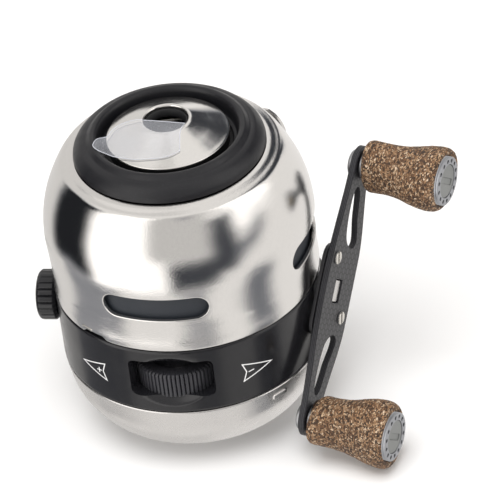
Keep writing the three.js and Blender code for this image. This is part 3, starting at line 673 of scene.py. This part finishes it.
def tube(path, radius, sides=6, closed=True):
    """Points and faces of a thin closed tube round a loop of points, or along an open line."""
    points = []
    count = len(path)
    for i, p in enumerate(path):
        after = path[(i + 1) % count] if closed else path[min(i + 1, count - 1)]
        before = path[i - 1] if closed else path[max(i - 1, 0)]
        ahead = (after - before).normalized()
        side = ahead.cross(Vector((0, 0, 1))).normalized()
        top = side.cross(ahead)
        for k in range(sides):
            angle = 2 * math.pi * k / sides
            points.append(tuple(p + (side * math.cos(angle) + top * math.sin(angle)) * radius))
    rows = numbered(count, sides)
    ends = [] if closed else [rows[0], rows[-1]]
    return points, stitch(rows, around_again=closed) + ends


def film_height(radius):
    """Height of the film: draped on the cone, bridging the line hole and lying over the ring."""
    table = [(0, 85.15), (6.3, 85.0), (10.6, 82.8), (14.6, 80.95), (15.6, 81.0), (17.1, 81.75),
        (18.6, 81.9), (19.6, 81.7), (21.5, 80.9)]
    return look_up(table, radius, table[-1][1])


def nose_film():
    """A clear protective film cut with a straight edge across the hole and a pull tab."""
    edge = [(-5.5, -0.3), (-2.2, -1.45), (1.2, -2.65), (4.5, -3.8), (3.5, -5.3), (3.0, -7.0), (2.7, -9.2)]
    edge += smooth_curve([(2.5, -11.2), (-0.2, -12.2), (-3.6, -12.2), (-8.4, -10.9), (-11.7, -9.0),
        (-14.5, -7.9), (-16.6, -6.4), (-17.95, -4.6), (-18.15, -3.1), (-17.3, -1.3), (-15.8, 0.1),
        (-14.4, 0.6), (-13.7, 1.8), (-12.4, 2.7), (-10.4, 2.7), (-8.4, 1.8), (-5.5, -0.3)], 3)[:-1]
    turn = math.radians(CAMERA_AZIMUTH)
    centre = (-6.5, -5.5)
    rings = 14
    points = []
    for side in (0.0, 0.16):
        for ring in range(rings + 1):
            t = 1 - ring / (rings + 0.35)
            for x, y in edge:
                px, py = centre[0] + (x - centre[0]) * t, centre[1] + (y - centre[1]) * t
                lift = film_height(math.hypot(px, py)) + side
                points.append((px * math.cos(turn) - py * math.sin(turn),
                               px * math.sin(turn) + py * math.cos(turn), lift))
    rows = numbered(2 * (rings + 1), len(edge))
    under, over = rows[:rings + 1], rows[rings + 1:]
    faces = stitch(under[::-1] + over) + [under[-1], over[-1]]
    finish_piece("nose_film_sheet", (points, faces), FILM, "cover", "clear_film", ["nose_film"])
    rim = [Vector(points[k]) for k in over[0]]
    finish_piece("nose_film_rim", tube(rim, 0.11), FILM_EDGE, "cover", "clear_film")


nose_film()


# ---------- body band and rear cover

DISH_HALF = (16.0, 6.0, 8.6)
DISH_RADIUS, DISH_HEIGHT = 36.2, 29.6


def dish_radius(azimuth, height):
    """Radius of the band's skin, sunk by an ellipsoid into a shallow dish round the drag wheel."""
    a, b, c = DISH_HALF
    centre, middle = DISH_RADIUS, DISH_HEIGHT
    off = math.radians(azimuth - WHEEL_AZIMUTH)
    s, k = math.sin(off), math.cos(off)
    if k < 0.5:
        return BAND_RADIUS
    qa = (s / a) ** 2 + (k / b) ** 2
    qb = -2 * k * centre / b ** 2
    qc = (centre / b) ** 2 + ((height - middle) / c) ** 2 - 1
    root = qb * qb - 4 * qa * qc
    if root <= 0:
        return BAND_RADIUS
    return smooth_min(BAND_RADIUS, (-qb - math.sqrt(root)) / (2 * qa), 0.28)


WINDOW_HALF, WINDOW_LOW, WINDOW_HIGH, WINDOW_CORNER = 10.5, 24.5, 35.3, 1.7


def window_corner(azimuth, height, half):
    """Moves a point of the window's edge inwards so that the corners are round."""
    side = math.copysign(1, azimuth - WHEEL_AZIMUTH)
    across = BAND_RADIUS * math.radians(half - abs(azimuth - WHEEL_AZIMUTH))
    level = math.copysign(1, height - (WINDOW_LOW + WINDOW_HIGH) / 2)
    up = min(height - WINDOW_LOW, WINDOW_HIGH - height)
    if across >= WINDOW_CORNER or up >= WINDOW_CORNER:
        return azimuth, height
    if across < 1e-6 and up < 1e-6:
        across = up = WINDOW_CORNER * (1 - math.sqrt(0.5))
    elif up < 1e-6:
        up = WINDOW_CORNER - math.sqrt(WINDOW_CORNER ** 2 - (WINDOW_CORNER - across) ** 2)
    else:
        across = WINDOW_CORNER - math.sqrt(WINDOW_CORNER ** 2 - (WINDOW_CORNER - up) ** 2)
    edge = WINDOW_HIGH if level > 0 else WINDOW_LOW
    return WHEEL_AZIMUTH + side * (half - math.degrees(across / BAND_RADIUS)), edge - level * up


def band_shell():
    half = math.degrees(math.asin(WINDOW_HALF / BAND_RADIUS))
    inside = 24
    azimuths = [WHEEL_AZIMUTH - half + 2 * half * k / inside for k in range(inside + 1)]
    rest = 240
    azimuths += [WHEEL_AZIMUTH + half + (360 - 2 * half) * k / rest for k in range(1, rest)]
    heights = [BAND_LOW, BAND_LOW + 0.12, BAND_LOW + 0.35]
    heights += [BAND_LOW + 0.35 + (WINDOW_LOW - BAND_LOW - 0.35) * k / 9 for k in range(1, 10)]
    heights += [WINDOW_LOW + (WINDOW_HIGH - WINDOW_LOW) * k / 20 for k in range(1, 21)]
    heights += [WINDOW_HIGH + (BAND_HIGH - 0.4 - WINDOW_HIGH) * k / 5 for k in range(1, 6)]
    heights += [BAND_HIGH - 0.15, BAND_HIGH]
    count, rows = len(azimuths), len(heights)
    first, last = (min(range(rows), key=lambda i: abs(heights[i] - edge))
                   for edge in (WINDOW_LOW, WINDOW_HIGH))
    points = []
    for depth in (0, 1):
        for i, height in enumerate(heights):
            ease = {0: 0.35, 1: 0.12, rows - 1: 0.4, rows - 2: 0.12}.get(i, 0.0)
            for k, azimuth in enumerate(azimuths):
                z = height
                if first <= i <= last and k <= inside and (i in (first, last) or k in (0, inside)):
                    azimuth, z = window_corner(azimuth, height, half)
                radius = 29.0 if depth else dish_radius(azimuth, z) - ease
                points.append((*around(radius, azimuth), z))
    numbers = numbered(2 * rows, count)
    skin, back = numbers[:rows], numbers[rows:]
    faces = []
    for layer in (skin, back):
        for i in range(rows - 1):
            faces += stitch(layer[i:i + 2])[inside if first <= i < last else 0:]
    for i in (0, rows - 1):
        faces += stitch([skin[i], back[i]])
    for i in (first, last):
        faces += stitch([skin[i], back[i]])[:inside]
    for k in (0, inside):
        faces += stitch([[row[k] for row in layer[first:last + 1]] for layer in (skin, back)], ring=False)
    finish_piece("body_band", (points, faces), BLACK, "frame", "black_plastic", ["body_frame"], sharp=50)


band_shell()
turned("body_neck", [(28.2, 46), (28.2, 49.9), (29.9, 49.9), (29.9, 45.6), (31.5, 45.6), (31.5, 38.7),
    (29.1, 38.7), (29.1, 45)], BLACK, "frame", "black_plastic")
turned("body_spigot", [(29.1, 17.3), (30.6, 17.3), (30.6, 20.1), (29.1, 20.1)], BLACK, "frame",
    "black_plastic")
# The well behind the drag wheel is drawn in the near-black shade plastic: painted shade inside the recess.
well = revolve([(2.6, 22.0), (12.5, 22.0), (12.5, 36.4), (2.6, 36.4), (2.6, 35.3), (11.6, 35.3),
    (11.6, 23.1), (2.6, 23.1)], 72, True, None, WHEEL_AZIMUTH - 90 + 61, 238)
finish_piece("wheel_well", well, SHADE_BLACK, "frame", "black_plastic",
    matrix=WHEEL_AXIS)
turned("crank_boss", [(6.3, 21.5), (7.5, 21.5), (7.5, 29.5), (4.3, 29.5), (4.3, 26.6), (6.3, 26.6)],
    BLACK, "frame", "black_plastic", columns=72, matrix=CRANK_AXIS)

turned("rear_bowl", [(14.6, 0.15), (14.75, 0.0), (19.7, 0.0)] + smooth_curve([(20.2, 0.05), (21.6, 0.9),
    (23, 2), (25, 3.4), (26.9, 5), (28.6, 6.9), (29.9, 9), (31.0, 11), (31.9, 13.4), (32.4, 16.2),
    (32.8, 18.6), (32.95, 19.5)], 3) + [(32.8, 19.75), (31.7, 19.75), (31.2, 16.8), (30.5, 12.8),
    (27, 7.4), (22.2, 3.2), (19.5, 1.3), (14.6, 1.3)], SATIN, "frame", "satin_steel", ["rear_cover"],
    columns=192, round_by=0.1)


def pressed_pad(name, rows, first, last, base, slope, material, body, slot):
    """A small raised pad on a cover: rows of (height, lift) between two azimuths."""
    points = []
    columns = 10
    for z, lift in rows:
        for k in range(columns + 1):
            rise = lift if 0 < k < columns else -0.1
            radius = base + (z - rows[0][0]) * slope + rise
            points.append((*around(radius, first + (last - first) * k / columns), z))
    faces = stitch(numbered(len(rows), columns + 1), ring=False)
    finish_piece(name, (points, faces), material, body, slot)


pressed_pad("rear_cover_catch", [(16.3, -0.1), (16.5, 0.3), (17.5, 0.3), (17.7, -0.1)], 61.5, 70, 32.45,
    0.12, POLISHED, "frame", "satin_steel")
pressed_pad("rim_tongue", [(40.3, -0.1), (40.4, 0.15), (40.85, 0.15), (41.0, -0.1)], -24.2, -17.4, 33.02,
    0.0, NICKEL, "cover", "polished_steel")


# ---------- drag wheel, arrows, selector

def ribbed(count, depth):
    """Narrow grooves round a wheel, with rounded lands between them."""
    def warp(angle, radius, height, _row):
        if radius < 10.0:
            return radius, height
        phase = abs((angle * count / (2 * math.pi)) % 1.0 - 0.5) * 2
        land = min(1.0, (1 - phase) * 3.2)
        crown = 0.12 * phase ** 2
        return radius - depth * (1 - land) - crown, height
    return warp


turned("drag_wheel_ribbed", [(2.3, WHEEL_LOW), (10.4, WHEEL_LOW), (11.0, WHEEL_LOW + 0.5),
    (11.0, WHEEL_HIGH - 0.5), (10.4, WHEEL_HIGH), (7.5, WHEEL_HIGH), (7.2, WHEEL_HIGH - 0.5),
    (4.2, WHEEL_HIGH - 0.5), (4.0, WHEEL_HIGH), (2.3, WHEEL_HIGH)], WHEEL_LIFTED_BLACK, "drag_adjuster",
    "black_plastic", ["drag_wheel"], columns=640, round_by=0.15, warp=ribbed(64, 0.6),
    matrix=WHEEL_AXIS)


def ribbon(outline, width, closed=True):
    """A thin line drawn on the band, as points and faces from (azimuth in degrees, height)."""
    flat = [Vector((math.radians(a) * BAND_RADIUS, z)) for a, z in outline]
    count = len(flat)
    points = []
    for i, p in enumerate(flat):
        before = flat[i - 1] if closed or i else p - (flat[1] - p)
        after = flat[(i + 1) % count] if closed or i < count - 1 else p + (p - flat[i - 1])
        d0, d1 = (p - before).normalized(), (after - p).normalized()
        n0, n1 = Vector((-d0.y, d0.x)), Vector((-d1.y, d1.x))
        middle = (n0 + n1).normalized()
        reach = width / 2 / max(middle.dot(n0), 0.35)
        for side in (1, -1):
            q = p + middle * reach * side
            azimuth = math.degrees(q.x / BAND_RADIUS)
            for lift in (0.0, 0.05):
                points.append((*around(BAND_RADIUS + lift, azimuth), q.y))
    rows = [[a, b, d, c] for a, b, c, d in numbered(count, 4)]
    ends = [] if closed else [rows[0], rows[-1]]
    return points, stitch(rows, around_again=closed) + ends


def subdivided(outline, parts=5):
    out = []
    for p, q in zip(outline, outline[1:] + outline[:1]):
        out += [tuple(a + (b - a) * k / parts for a, b in zip(p, q)) for k in range(parts)]
    return out


for side, label in ((-1, "plus"), (1, "minus")):
    arrow = [(31.0, 26.2), (44.8, 28.9), (31.0, 31.3), (32.6, 28.8)]
    drawn = [(WHEEL_AZIMUTH + side * a, z) for a, z in arrow]
    finish_piece(f"arrow_{label}", ribbon(subdivided(drawn), 0.27), PAINT, "frame", "black_plastic")
    middle = WHEEL_AZIMUTH + side * 34.8
    dash = [(middle - 1.3, 28.55), (middle + 1.3, 28.75)]
    finish_piece(f"sign_{label}_bar", ribbon(dash, 0.27, False), PAINT, "frame", "black_plastic")
    if side < 0:
        upright = [(middle, 27.9), (middle, 29.4)]
        finish_piece("sign_plus_upright", ribbon(upright, 0.27, False), PAINT, "frame", "black_plastic")


def knurled(angle, radius, height, _row):
    if radius > 5.9:
        return radius - 0.42 * max(0.0, math.cos(22 * angle)) ** 3, height
    return radius, height


turned("selector_knob_knurled", [(0, 33.0), (5.4, 33.0), (6.35, 33.8), (6.35, 37.3), (5.9, 37.9),
    (5.1, 38.3), (4.6, 37.9), (0, 37.7)], BLACK, "selector", "black_plastic", ["selector_knob"],
    columns=240, round_by=0.25, matrix=outwards(SELECTOR_AZIMUTH, SELECTOR_Z), warp=knurled, closed=False)


# ---------- foot

def foot_piece():
    low, high = node_box("reel_foot")
    middle = (low[2] + high[2]) / 2
    half = (high[2] - low[2]) / 2
    rows, cols = 48, 16
    points = []
    for face in (0, 1):
        for i in range(rows + 1):
            t = -1 + 2 * i / rows
            narrow = 7.5 * math.sqrt(max(1 - max(abs(t) - 0.74, 0) ** 2 / 0.26 ** 2 * 0.8, 0.02))
            thick = 0.8 + 2.2 * (1 - abs(t) ** 2.2)
            for k in range(cols + 1):
                u = -1 + 2 * k / cols
                crown = 0.35 * (u ** 2)
                y = high[1] - (0.0 if face else max(thick - crown, 0.5))
                points.append((u * narrow, y, middle + t * half))
    lines = numbered(2 * (rows + 1), cols + 1)
    inner, seat = lines[:rows + 1], lines[rows + 1:]
    faces = stitch([a + b[::-1] for a, b in zip(inner, seat)])
    for end in (0, -1):
        faces += stitch([inner[end], seat[end]], ring=False)
    finish_piece("foot_plate", (points, faces), SATIN, "frame", "satin_steel", ["reel_foot"])
    stem = fillet([(-6.8, 22.6), (6.8, 22.6), (6.8, 37.6), (-6.8, 37.6)], 2.0, 5)
    rise = []
    places = ((32.2, 1.5), (33.4, 1.0), (34.4, 0.3), (36, 0), (39.5, 0), (41.4, 0.5), (42.6, 1.6))
    for y, grow in places:
        rise += [(x * (1 + grow / 7), y, 30.1 + (z - 30.1) * (1 + grow / 9)) for x, z in stem]
    loops = numbered(len(places), len(stem))
    faces = stitch(loops) + [loops[0], loops[-1]]
    finish_piece("foot_stem", (rise, faces), SATIN, "frame", "satin_steel")


foot_piece()


# ---------- handle

END = 4.6


def arm_outline():
    out = arc((0, ARM_HALF), END, 0, 180, 18)
    out += bezier((-END, ARM_HALF), (-END, ARM_HALF - 10), (-7.6, 14), (-7.6, 0), 20)
    out += bezier((-7.6, 0), (-7.6, -14), (-END, 10 - ARM_HALF), (-END, -ARM_HALF), 20)
    out += arc((0, -ARM_HALF), END, 180, 360, 18)[1:]
    out += bezier((END, -ARM_HALF), (END, 8 - ARM_HALF), (9.6, -16), (9.6, -8), 16)
    out += [(9.6, -4), (9.6, 0), (9.6, 4), (9.6, 8)]
    out += bezier((9.6, 8), (9.6, 16), (END, ARM_HALF - 8), (END, ARM_HALF), 16)[:-1]
    return out


def arm_slot(side):
    path = [(-0.5, 26.2)]
    path += bezier((-0.5, 26.2), (1.7, 26.6), (2.4, 23), (3, 20), 8)
    path += bezier((3, 20), (3.6, 16.6), (6.2, 14), (5.4, 12), 10)
    path += bezier((5.4, 12), (4.2, 10), (-0.4, 11), (-1.4, 14.4), 8)
    path += bezier((-1.4, 14.4), (-2.6, 18.6), (-2.8, 25.6), (-0.5, 26.2), 10)[:-1]
    return [(x, side * y) for x, y in path]


def rounded_rectangle(width, height, corner, x=0.0, y=0.0):
    a, b = width / 2, height / 2
    return fillet([(x - a, y - b), (x + a, y - b), (x + a, y + b), (x - a, y + b)], corner, 4)


ARM_SCREWS = [(-4.4, 8.2), (5.2, -6.4)]
WINDOW = rounded_rectangle(3.9, 5.9, 0.4)
ARM_BACK, ARM_FRONT = ARM_LOW - 0.3, ARM_HIGH + 0.3
ends = [arc((0, side * ARM_HALF), 2.3, 0, 350, 35) for side in (1, -1)]
plate("handle_arm_carbon", [arm_outline(), arm_slot(1), arm_slot(-1), WINDOW, *ends], ARM_LOW, ARM_HIGH,
    0.16, CARBON, "crank", "carbon_plate", ["handle_arm"], ARM_PLANE, EDGE)
plate("handle_hub_block", [rounded_rectangle(14.4, 23, 4), WINDOW], node_box("handle_hub")[0][0],
    ARM_BACK, 0.2, ANODISED, "crank", "anodised_black", ["handle_hub"], ARM_PLANE)

for index, (x, y) in enumerate(ARM_SCREWS, 1):
    place = ARM_PLANE @ Matrix.Translation((x, y, 0)) @ Matrix.Rotation(math.radians(115), 4, "Z")
    turned(f"arm_screw_{index}_head", [(0, 33.9), (0.9, 33.9), (0.9, ARM_HIGH + 0.05),
        (1.62, ARM_HIGH + 0.05), (1.62, ARM_HIGH + 0.2), (0, ARM_HIGH + 0.2)], DARK_STEEL, "crank",
        "nickel_screws", [f"arm_screw_{index}"], 64, 0.08, place, closed=False)
    for half in (-1, 1):
        lobe = [(px, half * py) for px, py in arc((0, 0), 1.62, 11, 169, 20)]
        plate(f"arm_screw_{index}_dome_{'a' if half < 0 else 'b'}", [lobe], ARM_HIGH + 0.15,
            ARM_HIGH + 0.55, 0.18, NICKEL, "crank", "nickel_screws", matrix=place)


# ---------- knobs

GRIP_SECTIONS = [(0, 4.4, 6.2), (0.35, 4.9, 6.7), (1.2, 5.35, 7.05), (3, 5.6, 6.85), (5, 6.0, 6.5),
    (7, 6.45, 6.25), (9, 7.0, 6.15), (11, 7.7, 6.3), (13, 8.4, 6.6), (15, 8.95, 6.95), (17, 9.2, 7.25),
    (18.6, 9.15, 7.35), (19.7, 8.8, 7.2), (20.3, 8.3, 6.95), (20.5, 7.7, 6.75)]


def grip_mesh(wide_along):
    rows = smooth_curve(GRIP_SECTIONS, 4)
    columns = 128
    points = []
    seed = Vector((3.1, 7.7, 1.3)) if wide_along else Vector((9.2, 0.4, 5.5))

    def ring(z, across, along, rough=1.0):
        start = len(points)
        for k in range(columns):
            angle = 2 * math.pi * k / columns
            p = Vector((across * math.cos(angle), along * math.sin(angle), z))
            pit = noise.noise(p * 1.15 + seed) * 0.07 + noise.noise(p * 2.6 + seed) * 0.05
            p.x *= 1 + rough * pit / across
            p.y *= 1 + rough * pit / along
            points.append(tuple(p))
        return range(start, start + columns)

    loops = [ring(0, 2.6, 2.6, 0), ring(0, 3.8, 5.4, 0)]
    for z, wide, narrow in rows:
        across, along = (narrow, wide) if wide_along else (wide, narrow)
        loops.append(ring(z, across, along))
    end = KNOB_LENGTH
    loops += [ring(end, 6.6, 6.6, 0.3), ring(end - 0.25, 6.35, 6.35, 0), ring(end - 1.3, 6.3, 6.3, 0),
        ring(end - 1.35, 4.4, 4.4, 0), ring(1.0, 4.4, 4.4, 0)]
    return points, stitch(loops, around_again=True)


HOLE_ANGLE = 360 / 14
CAP_HOLES = arc((0, 0), 5.12, HOLE_ANGLE / 2, 360 - HOLE_ANGLE / 2, 13)
CAP_RADIUS, DISC_RADIUS = 6.12, 4.16


def knob(label, side):
    body = f"{label}_knob"
    place = ARM_PLANE @ Matrix.Translation((0, side * ARM_HALF, 0))
    upright = place @ Matrix.Rotation(math.radians(ARM_TILT), 4, "Z")
    grip = finish_piece(f"{label}_cork_grip", grip_mesh(side < 0), CORK, body, "cork_composite",
        [f"{label}_knob_grip"], upright @ Matrix.Translation((0, 0, KNOB_START)), sharp=60)
    grip.visible_glossy = False
    end = KNOB_START + KNOB_LENGTH
    face = end + 0.75
    turned(f"{label}_cap_base", [(0, end - 1.1), (5.8, end - 1.1), (6.05, end - 0.8),
        (CAP_RADIUS, face - 0.62), (0, face - 0.62)], CAP_GREY, body, "grey_aluminium",
        [f"{label}_knob_cap"], 128, 0.1, place, closed=False)
    turned(f"{label}_cap_shadow", [(4.3, face - 0.7), (5.9, face - 0.7), (5.9, face - 0.58),
        (4.3, face - 0.58)], SHADE_BLACK, body, "black_plastic", (), 96, 0, place)
    circle = arc((0, 0), CAP_RADIUS, 0, 357, 119)
    inner = arc((0, 0), DISC_RADIUS + 0.06, 0, 356, 89)
    holes = [arc(centre, 0.5, 0, 345, 23) for centre in CAP_HOLES]
    plate(f"{label}_cap_flange", [circle, inner, *holes], face - 0.6, face, 0.1, CAP_GREY, body,
        "grey_aluminium", matrix=place)
    slot = [(-2.9, -0.8), (2.9, -0.8), (2.9, 0.8), (-2.9, 0.8)]
    plate(f"{label}_cap_disc", [arc((0, 0), DISC_RADIUS, 0, 356, 89), fillet(slot, 0.35, 4)], face - 0.62,
        face - 0.14, 0.16, CAP_BRUSHED, body, "grey_aluminium", matrix=place)
    floor = []
    for row in range(9):
        y = -1.0 + 2.0 * row / 8
        floor += [(x, y, face - 0.62 + 0.3 * (x / 3.0) ** 2 * (1 - 0.2 * y * y))
                  for x in [-3.1 + 6.2 * k / 16 for k in range(17)]]
    finish_piece(f"{label}_cap_slot", (floor, stitch(numbered(9, 17), ring=False)), CAP_BRUSHED, body,
        "grey_aluminium", matrix=place)
    turned(f"{label}_spindle_turned", [(0, ARM_BACK - 1), (3.1, ARM_BACK - 1), (3.4, ARM_BACK - 0.7),
        (3.4, ARM_BACK), (2, ARM_BACK), (2, ARM_FRONT), (3.6, ARM_FRONT), (3.6, ARM_FRONT + 0.7),
        (2, ARM_FRONT + 0.7), (2, KNOB_START + 15.8), (0, KNOB_START + 15.8)], DARK_STEEL, "crank",
        "dark_steel", [f"{label}_knob_spindle"], 64, 0.15, place, closed=False)


knob("upper", 1)
knob("lower", -1)


# ---------- inside of the reel

turned("spinner_head_turned", [(1.6, 66), (22.0, 66), (23.3, 64.6), (23.3, 60.6), (24.5, 60.6),
    (24.5, 64.9), (22.7, 67.2), (5, 67.2), (4, 68.2), (1.6, 68.2)], SATIN, "spinner", "satin_steel",
    ["spinner_head"], 160, 0.5)
turned("spool_turned", [(7, 55.2), (22, 55.2), (22, 56.2), (9, 56.2), (9, 61), (22, 61), (22, 62),
    (7, 62)], BLACK, "spool", "black_plastic", ["spool"], 144, 0.3)
turned("line_winding", smooth_curve([(9.4, 56.4), (20.0, 56.4), (20.6, 57.4), (20.8, 58.6), (20.6, 59.8),
    (20.0, 60.8), (9.4, 60.8)], 3), NYLON, "spool", "nylon_line", ["line_pack"], 144, 0)
turned("deck_turned", [(5.3, 50.2), (29.9, 50.2), (29.9, 52), (6.6, 52), (6.6, 62.1), (5.8, 62.1),
    (5.8, 63.6), (3.8, 63.6), (3.8, 54), (5.3, 54)], SATIN, "frame", "satin_steel", ["gear_deck"], 144,
    0.25)
turned("thumb_button_moulded", [(0, 0.75), (5, 0.7), (9, 0.55), (12.6, 0.42), (13.4, 0.45), (13.9, 0.8),
    (14.0, 1.7), (16.6, 1.7), (16.6, 2.7), (4, 2.7), (4, 10.6), (0, 10.6)], BLACK, "button",
    "black_plastic", ["thumb_button"], 120, 0.2, closed=False)
turned("bush_turned", [(3.3, 26.8), (4, 26.8), (4, 32.2), (4.7, 32.2), (4.7, 33.1), (3.3, 33.1)],
    DARK_STEEL, "frame", "dark_steel", ["crank_bush"], 72, 0.15, CRANK_AXIS)


def button_spring():
    """The coil behind the thumb button."""
    wire, travel = 0.45, 3.5
    (_, _, low), (_, _, high) = node_box("button_spring")
    steps = 180
    path = []
    for i in range(steps + 1):
        angle = 2 * math.pi * 4.5 * i / steps
        rise = i / steps - 0.045 * math.sin(2 * math.pi * i / steps)
        path.append(Vector((6.6 * math.cos(angle), 6.6 * math.sin(angle),
                            low + wire + (high - low - 2 * wire) * rise)))
    coil = finish_piece("button_spring_coil", tube(path, wire, 10, closed=False), DARK_STEEL, "frame",
                        "dark_steel", ["button_spring"])
    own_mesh(coil)


button_spring()

CAD_FINISH = {
    "satin_steel": SATIN, "dark_steel": DARK_STEEL, "nickel_screws": NICKEL, "brass_gear": BRASS,
    "white_ceramic": CERAMIC, "black_plastic": BLACK, "polished_steel": POLISHED,
    "grey_aluminium": CAP_GREY, "anodised_black": ANODISED, "grey_plastic": LINER,
}
SLOT_OF = {entry["node"]: entry["material_slot"] for entry in frame["record"]["subparts"]}
for node_name, node in frame["nodes"].items():
    better = CAD_FINISH.get(SLOT_OF[node_name])
    if better:
        for holder in node.material_slots:
            holder.material = better


# ---------- floor, light and camera

def add_floor():
    size = 3000 * MM
    corners = [(x * size, y * size, -0.25 * MM) for x, y in ((-1, -1), (1, -1), (1, 1), (-1, 1))]
    mesh = bpy.data.meshes.new("floor")
    mesh.from_pydata(corners, [], [(0, 1, 2, 3)])
    shader = Shader("floor_white", (0.9, 0.9, 0.9), 0.0, 0.9)
    shader.link(shader.mix(shader.noise(40.0, 2.0), (0.90, 0.90, 0.90), (0.92, 0.92, 0.92)), "Base Color")
    mesh.materials.append(shader.material)
    floor = add_object("floor", mesh)
    floor.visible_glossy = False


# Studio surroundings, as soft-edged patches: azimuth range and elevation range in degrees, seen
# from the reel and counted from the camera's side to the right, slope, brightness, softness.
PATCHES = [
    (-182, -126, -90, 90, 0.0, 0.75, 10),
    (-128, -76, -30, 40, 0.0, 0.02, 6),
    (-120, -62, -48, -30, 0.0, 0.30, 9),
    (-82, -28, -32, 62, 0.0, 1.65, 1.5),
    (-30, 28, -2, 66, 0.0, 0.66, 1.5),
    (-30, -15, -30, 0, 0.0, 1.5, 3),
    (-3, 9, 36, 54, 0.0, 0.36, 4),
    (28, 46, 24, 70, 0.0, 0.95, 2),
    (-15, 26, -29, -4, 0.0, 0.07, 2),
    (-6, 20, -44, -32, 0.0, 0.34, 8),
    (24, 46, -22, 24, 0.0, 0.075, 2.5),
    (44, 76, -9, 3, 0.5, 0.22, 6),
    (46, 94, 8, 62, 0.0, 1.55, 2),
    (97, 143, 12, 46, -0.85, 0.05, 6),
    (123, 164, 19, 37, -1.2, 0.05, 5),
    (50, 80, -60, -31, 0.0, 0.20, 7),
]
OPEN_LIGHT = 0.92


def add_world():
    world = bpy.data.worlds.new("studio")
    bpy.context.scene.world = world
    world.use_nodes = True
    world.node_tree.nodes.clear()
    studio = Nodes(world.node_tree, "Generated")
    count, plus, times = studio.math, studio.plus, studio.times
    sway = studio.node("ShaderNodeTexNoise", Vector=studio.place, Scale=2.6, Detail=1.5)
    shift = studio.vector("MULTIPLY_ADD", sway.outputs["Color"], (0.24,) * 3, studio.place)
    even = studio.vector("NORMALIZE", studio.vector("ADD", shift, (-0.12,) * 3))
    x, y, z = studio.node("ShaderNodeSeparateXYZ", Vector=even).outputs
    across, along = math.cos(math.radians(CAMERA_AZIMUTH)), math.sin(math.radians(CAMERA_AZIMUTH))
    right = plus(times(x, across), times(y, along))
    near = count("SUBTRACT", times(x, along), times(y, across))
    azimuth = times(count("ARCTAN2", right, near), math.degrees(1))
    elevation = times(count("ARCSINE", z), math.degrees(1))

    def gate(value, low, high, soft):
        up = count("DIVIDE", count("SUBTRACT", value, low - soft / 2), soft, clamp=True)
        down = count("DIVIDE", count("SUBTRACT", high + soft / 2, value), soft, clamp=True)
        return times(up, down)

    level = plus(OPEN_LIGHT, 0.0)
    for a0, a1, e0, e1, slope, bright, soft in PATCHES:
        lean = times(count("SUBTRACT", azimuth, (a0 + a1) / 2), slope)
        tilted = count("SUBTRACT", elevation, lean)
        mask = times(gate(azimuth, a0, a1, soft), gate(tilted, e0, e1, soft))
        level = plus(level, times(count("SUBTRACT", bright, level), mask))

    tint = studio.ramp(level, [(0.0, (0.90, 0.96, 1.12)), (0.6, (1.0, 0.975, 0.95))])
    glow = studio.node("ShaderNodeBackground", Color=tint, Strength=level)
    plain = studio.node("ShaderNodeBackground", Color=(1, 1, 1, 1), Strength=0.98)
    choose = studio.node("ShaderNodeMixShader")
    rays = studio.node("ShaderNodeLightPath").outputs["Is Camera Ray"]
    studio.feed(choose.inputs, (rays, glow.outputs[0], plain.outputs[0]))
    studio.feed(studio.node("ShaderNodeOutputWorld").inputs, [choose.outputs[0]])


def add_light(name, azimuth, elevation, distance, size, power, glossy=False):
    data = bpy.data.lights.new(name, "AREA")
    data.shape, data.size, data.energy = "DISK", size, power
    lamp = add_object(name, data)
    flat = distance * math.cos(math.radians(elevation))
    x, y = around(flat, azimuth + CAMERA_AZIMUTH)
    lamp.location = (x, y, distance * math.sin(math.radians(elevation)))
    lamp.rotation_euler = (-lamp.location).to_track_quat("-Z", "Y").to_euler()
    lamp.visible_glossy = glossy


FOCAL, SENSOR = 288.0, 36.0
CAMERA_DISTANCE, CAMERA_ELEVATION, CAMERA_ROLL = 988.6, 36.95, 7.23
CAMERA_TARGET = Vector((13.97, 8.07, 42.11))


def add_camera():
    camera = add_object("camera", bpy.data.cameras.new("camera"))
    camera.data.lens, camera.data.sensor_width = FOCAL, SENSOR
    camera.data.clip_start, camera.data.clip_end = 0.05, 20
    e, a, roll = (math.radians(v) for v in (CAMERA_ELEVATION, CAMERA_AZIMUTH, CAMERA_ROLL))
    back = Vector((math.cos(e) * math.sin(a), -math.cos(e) * math.cos(a), math.sin(e)))
    right = Vector((math.cos(a), math.sin(a), 0))
    up = back.cross(right)
    tilted_right = right * math.cos(roll) - up * math.sin(roll)
    tilted_up = right * math.sin(roll) + up * math.cos(roll)
    place = Matrix((tilted_right, tilted_up, back)).transposed().to_4x4()
    place.translation = (CAMERA_TARGET + back * CAMERA_DISTANCE) * MM
    camera.matrix_world = place
    bpy.context.scene.camera = camera


add_floor()
add_world()
add_light("top_light", -20, 75, 1.2, 0.9, 9)
add_camera()
bpy.context.scene.view_settings.view_transform = "Standard"
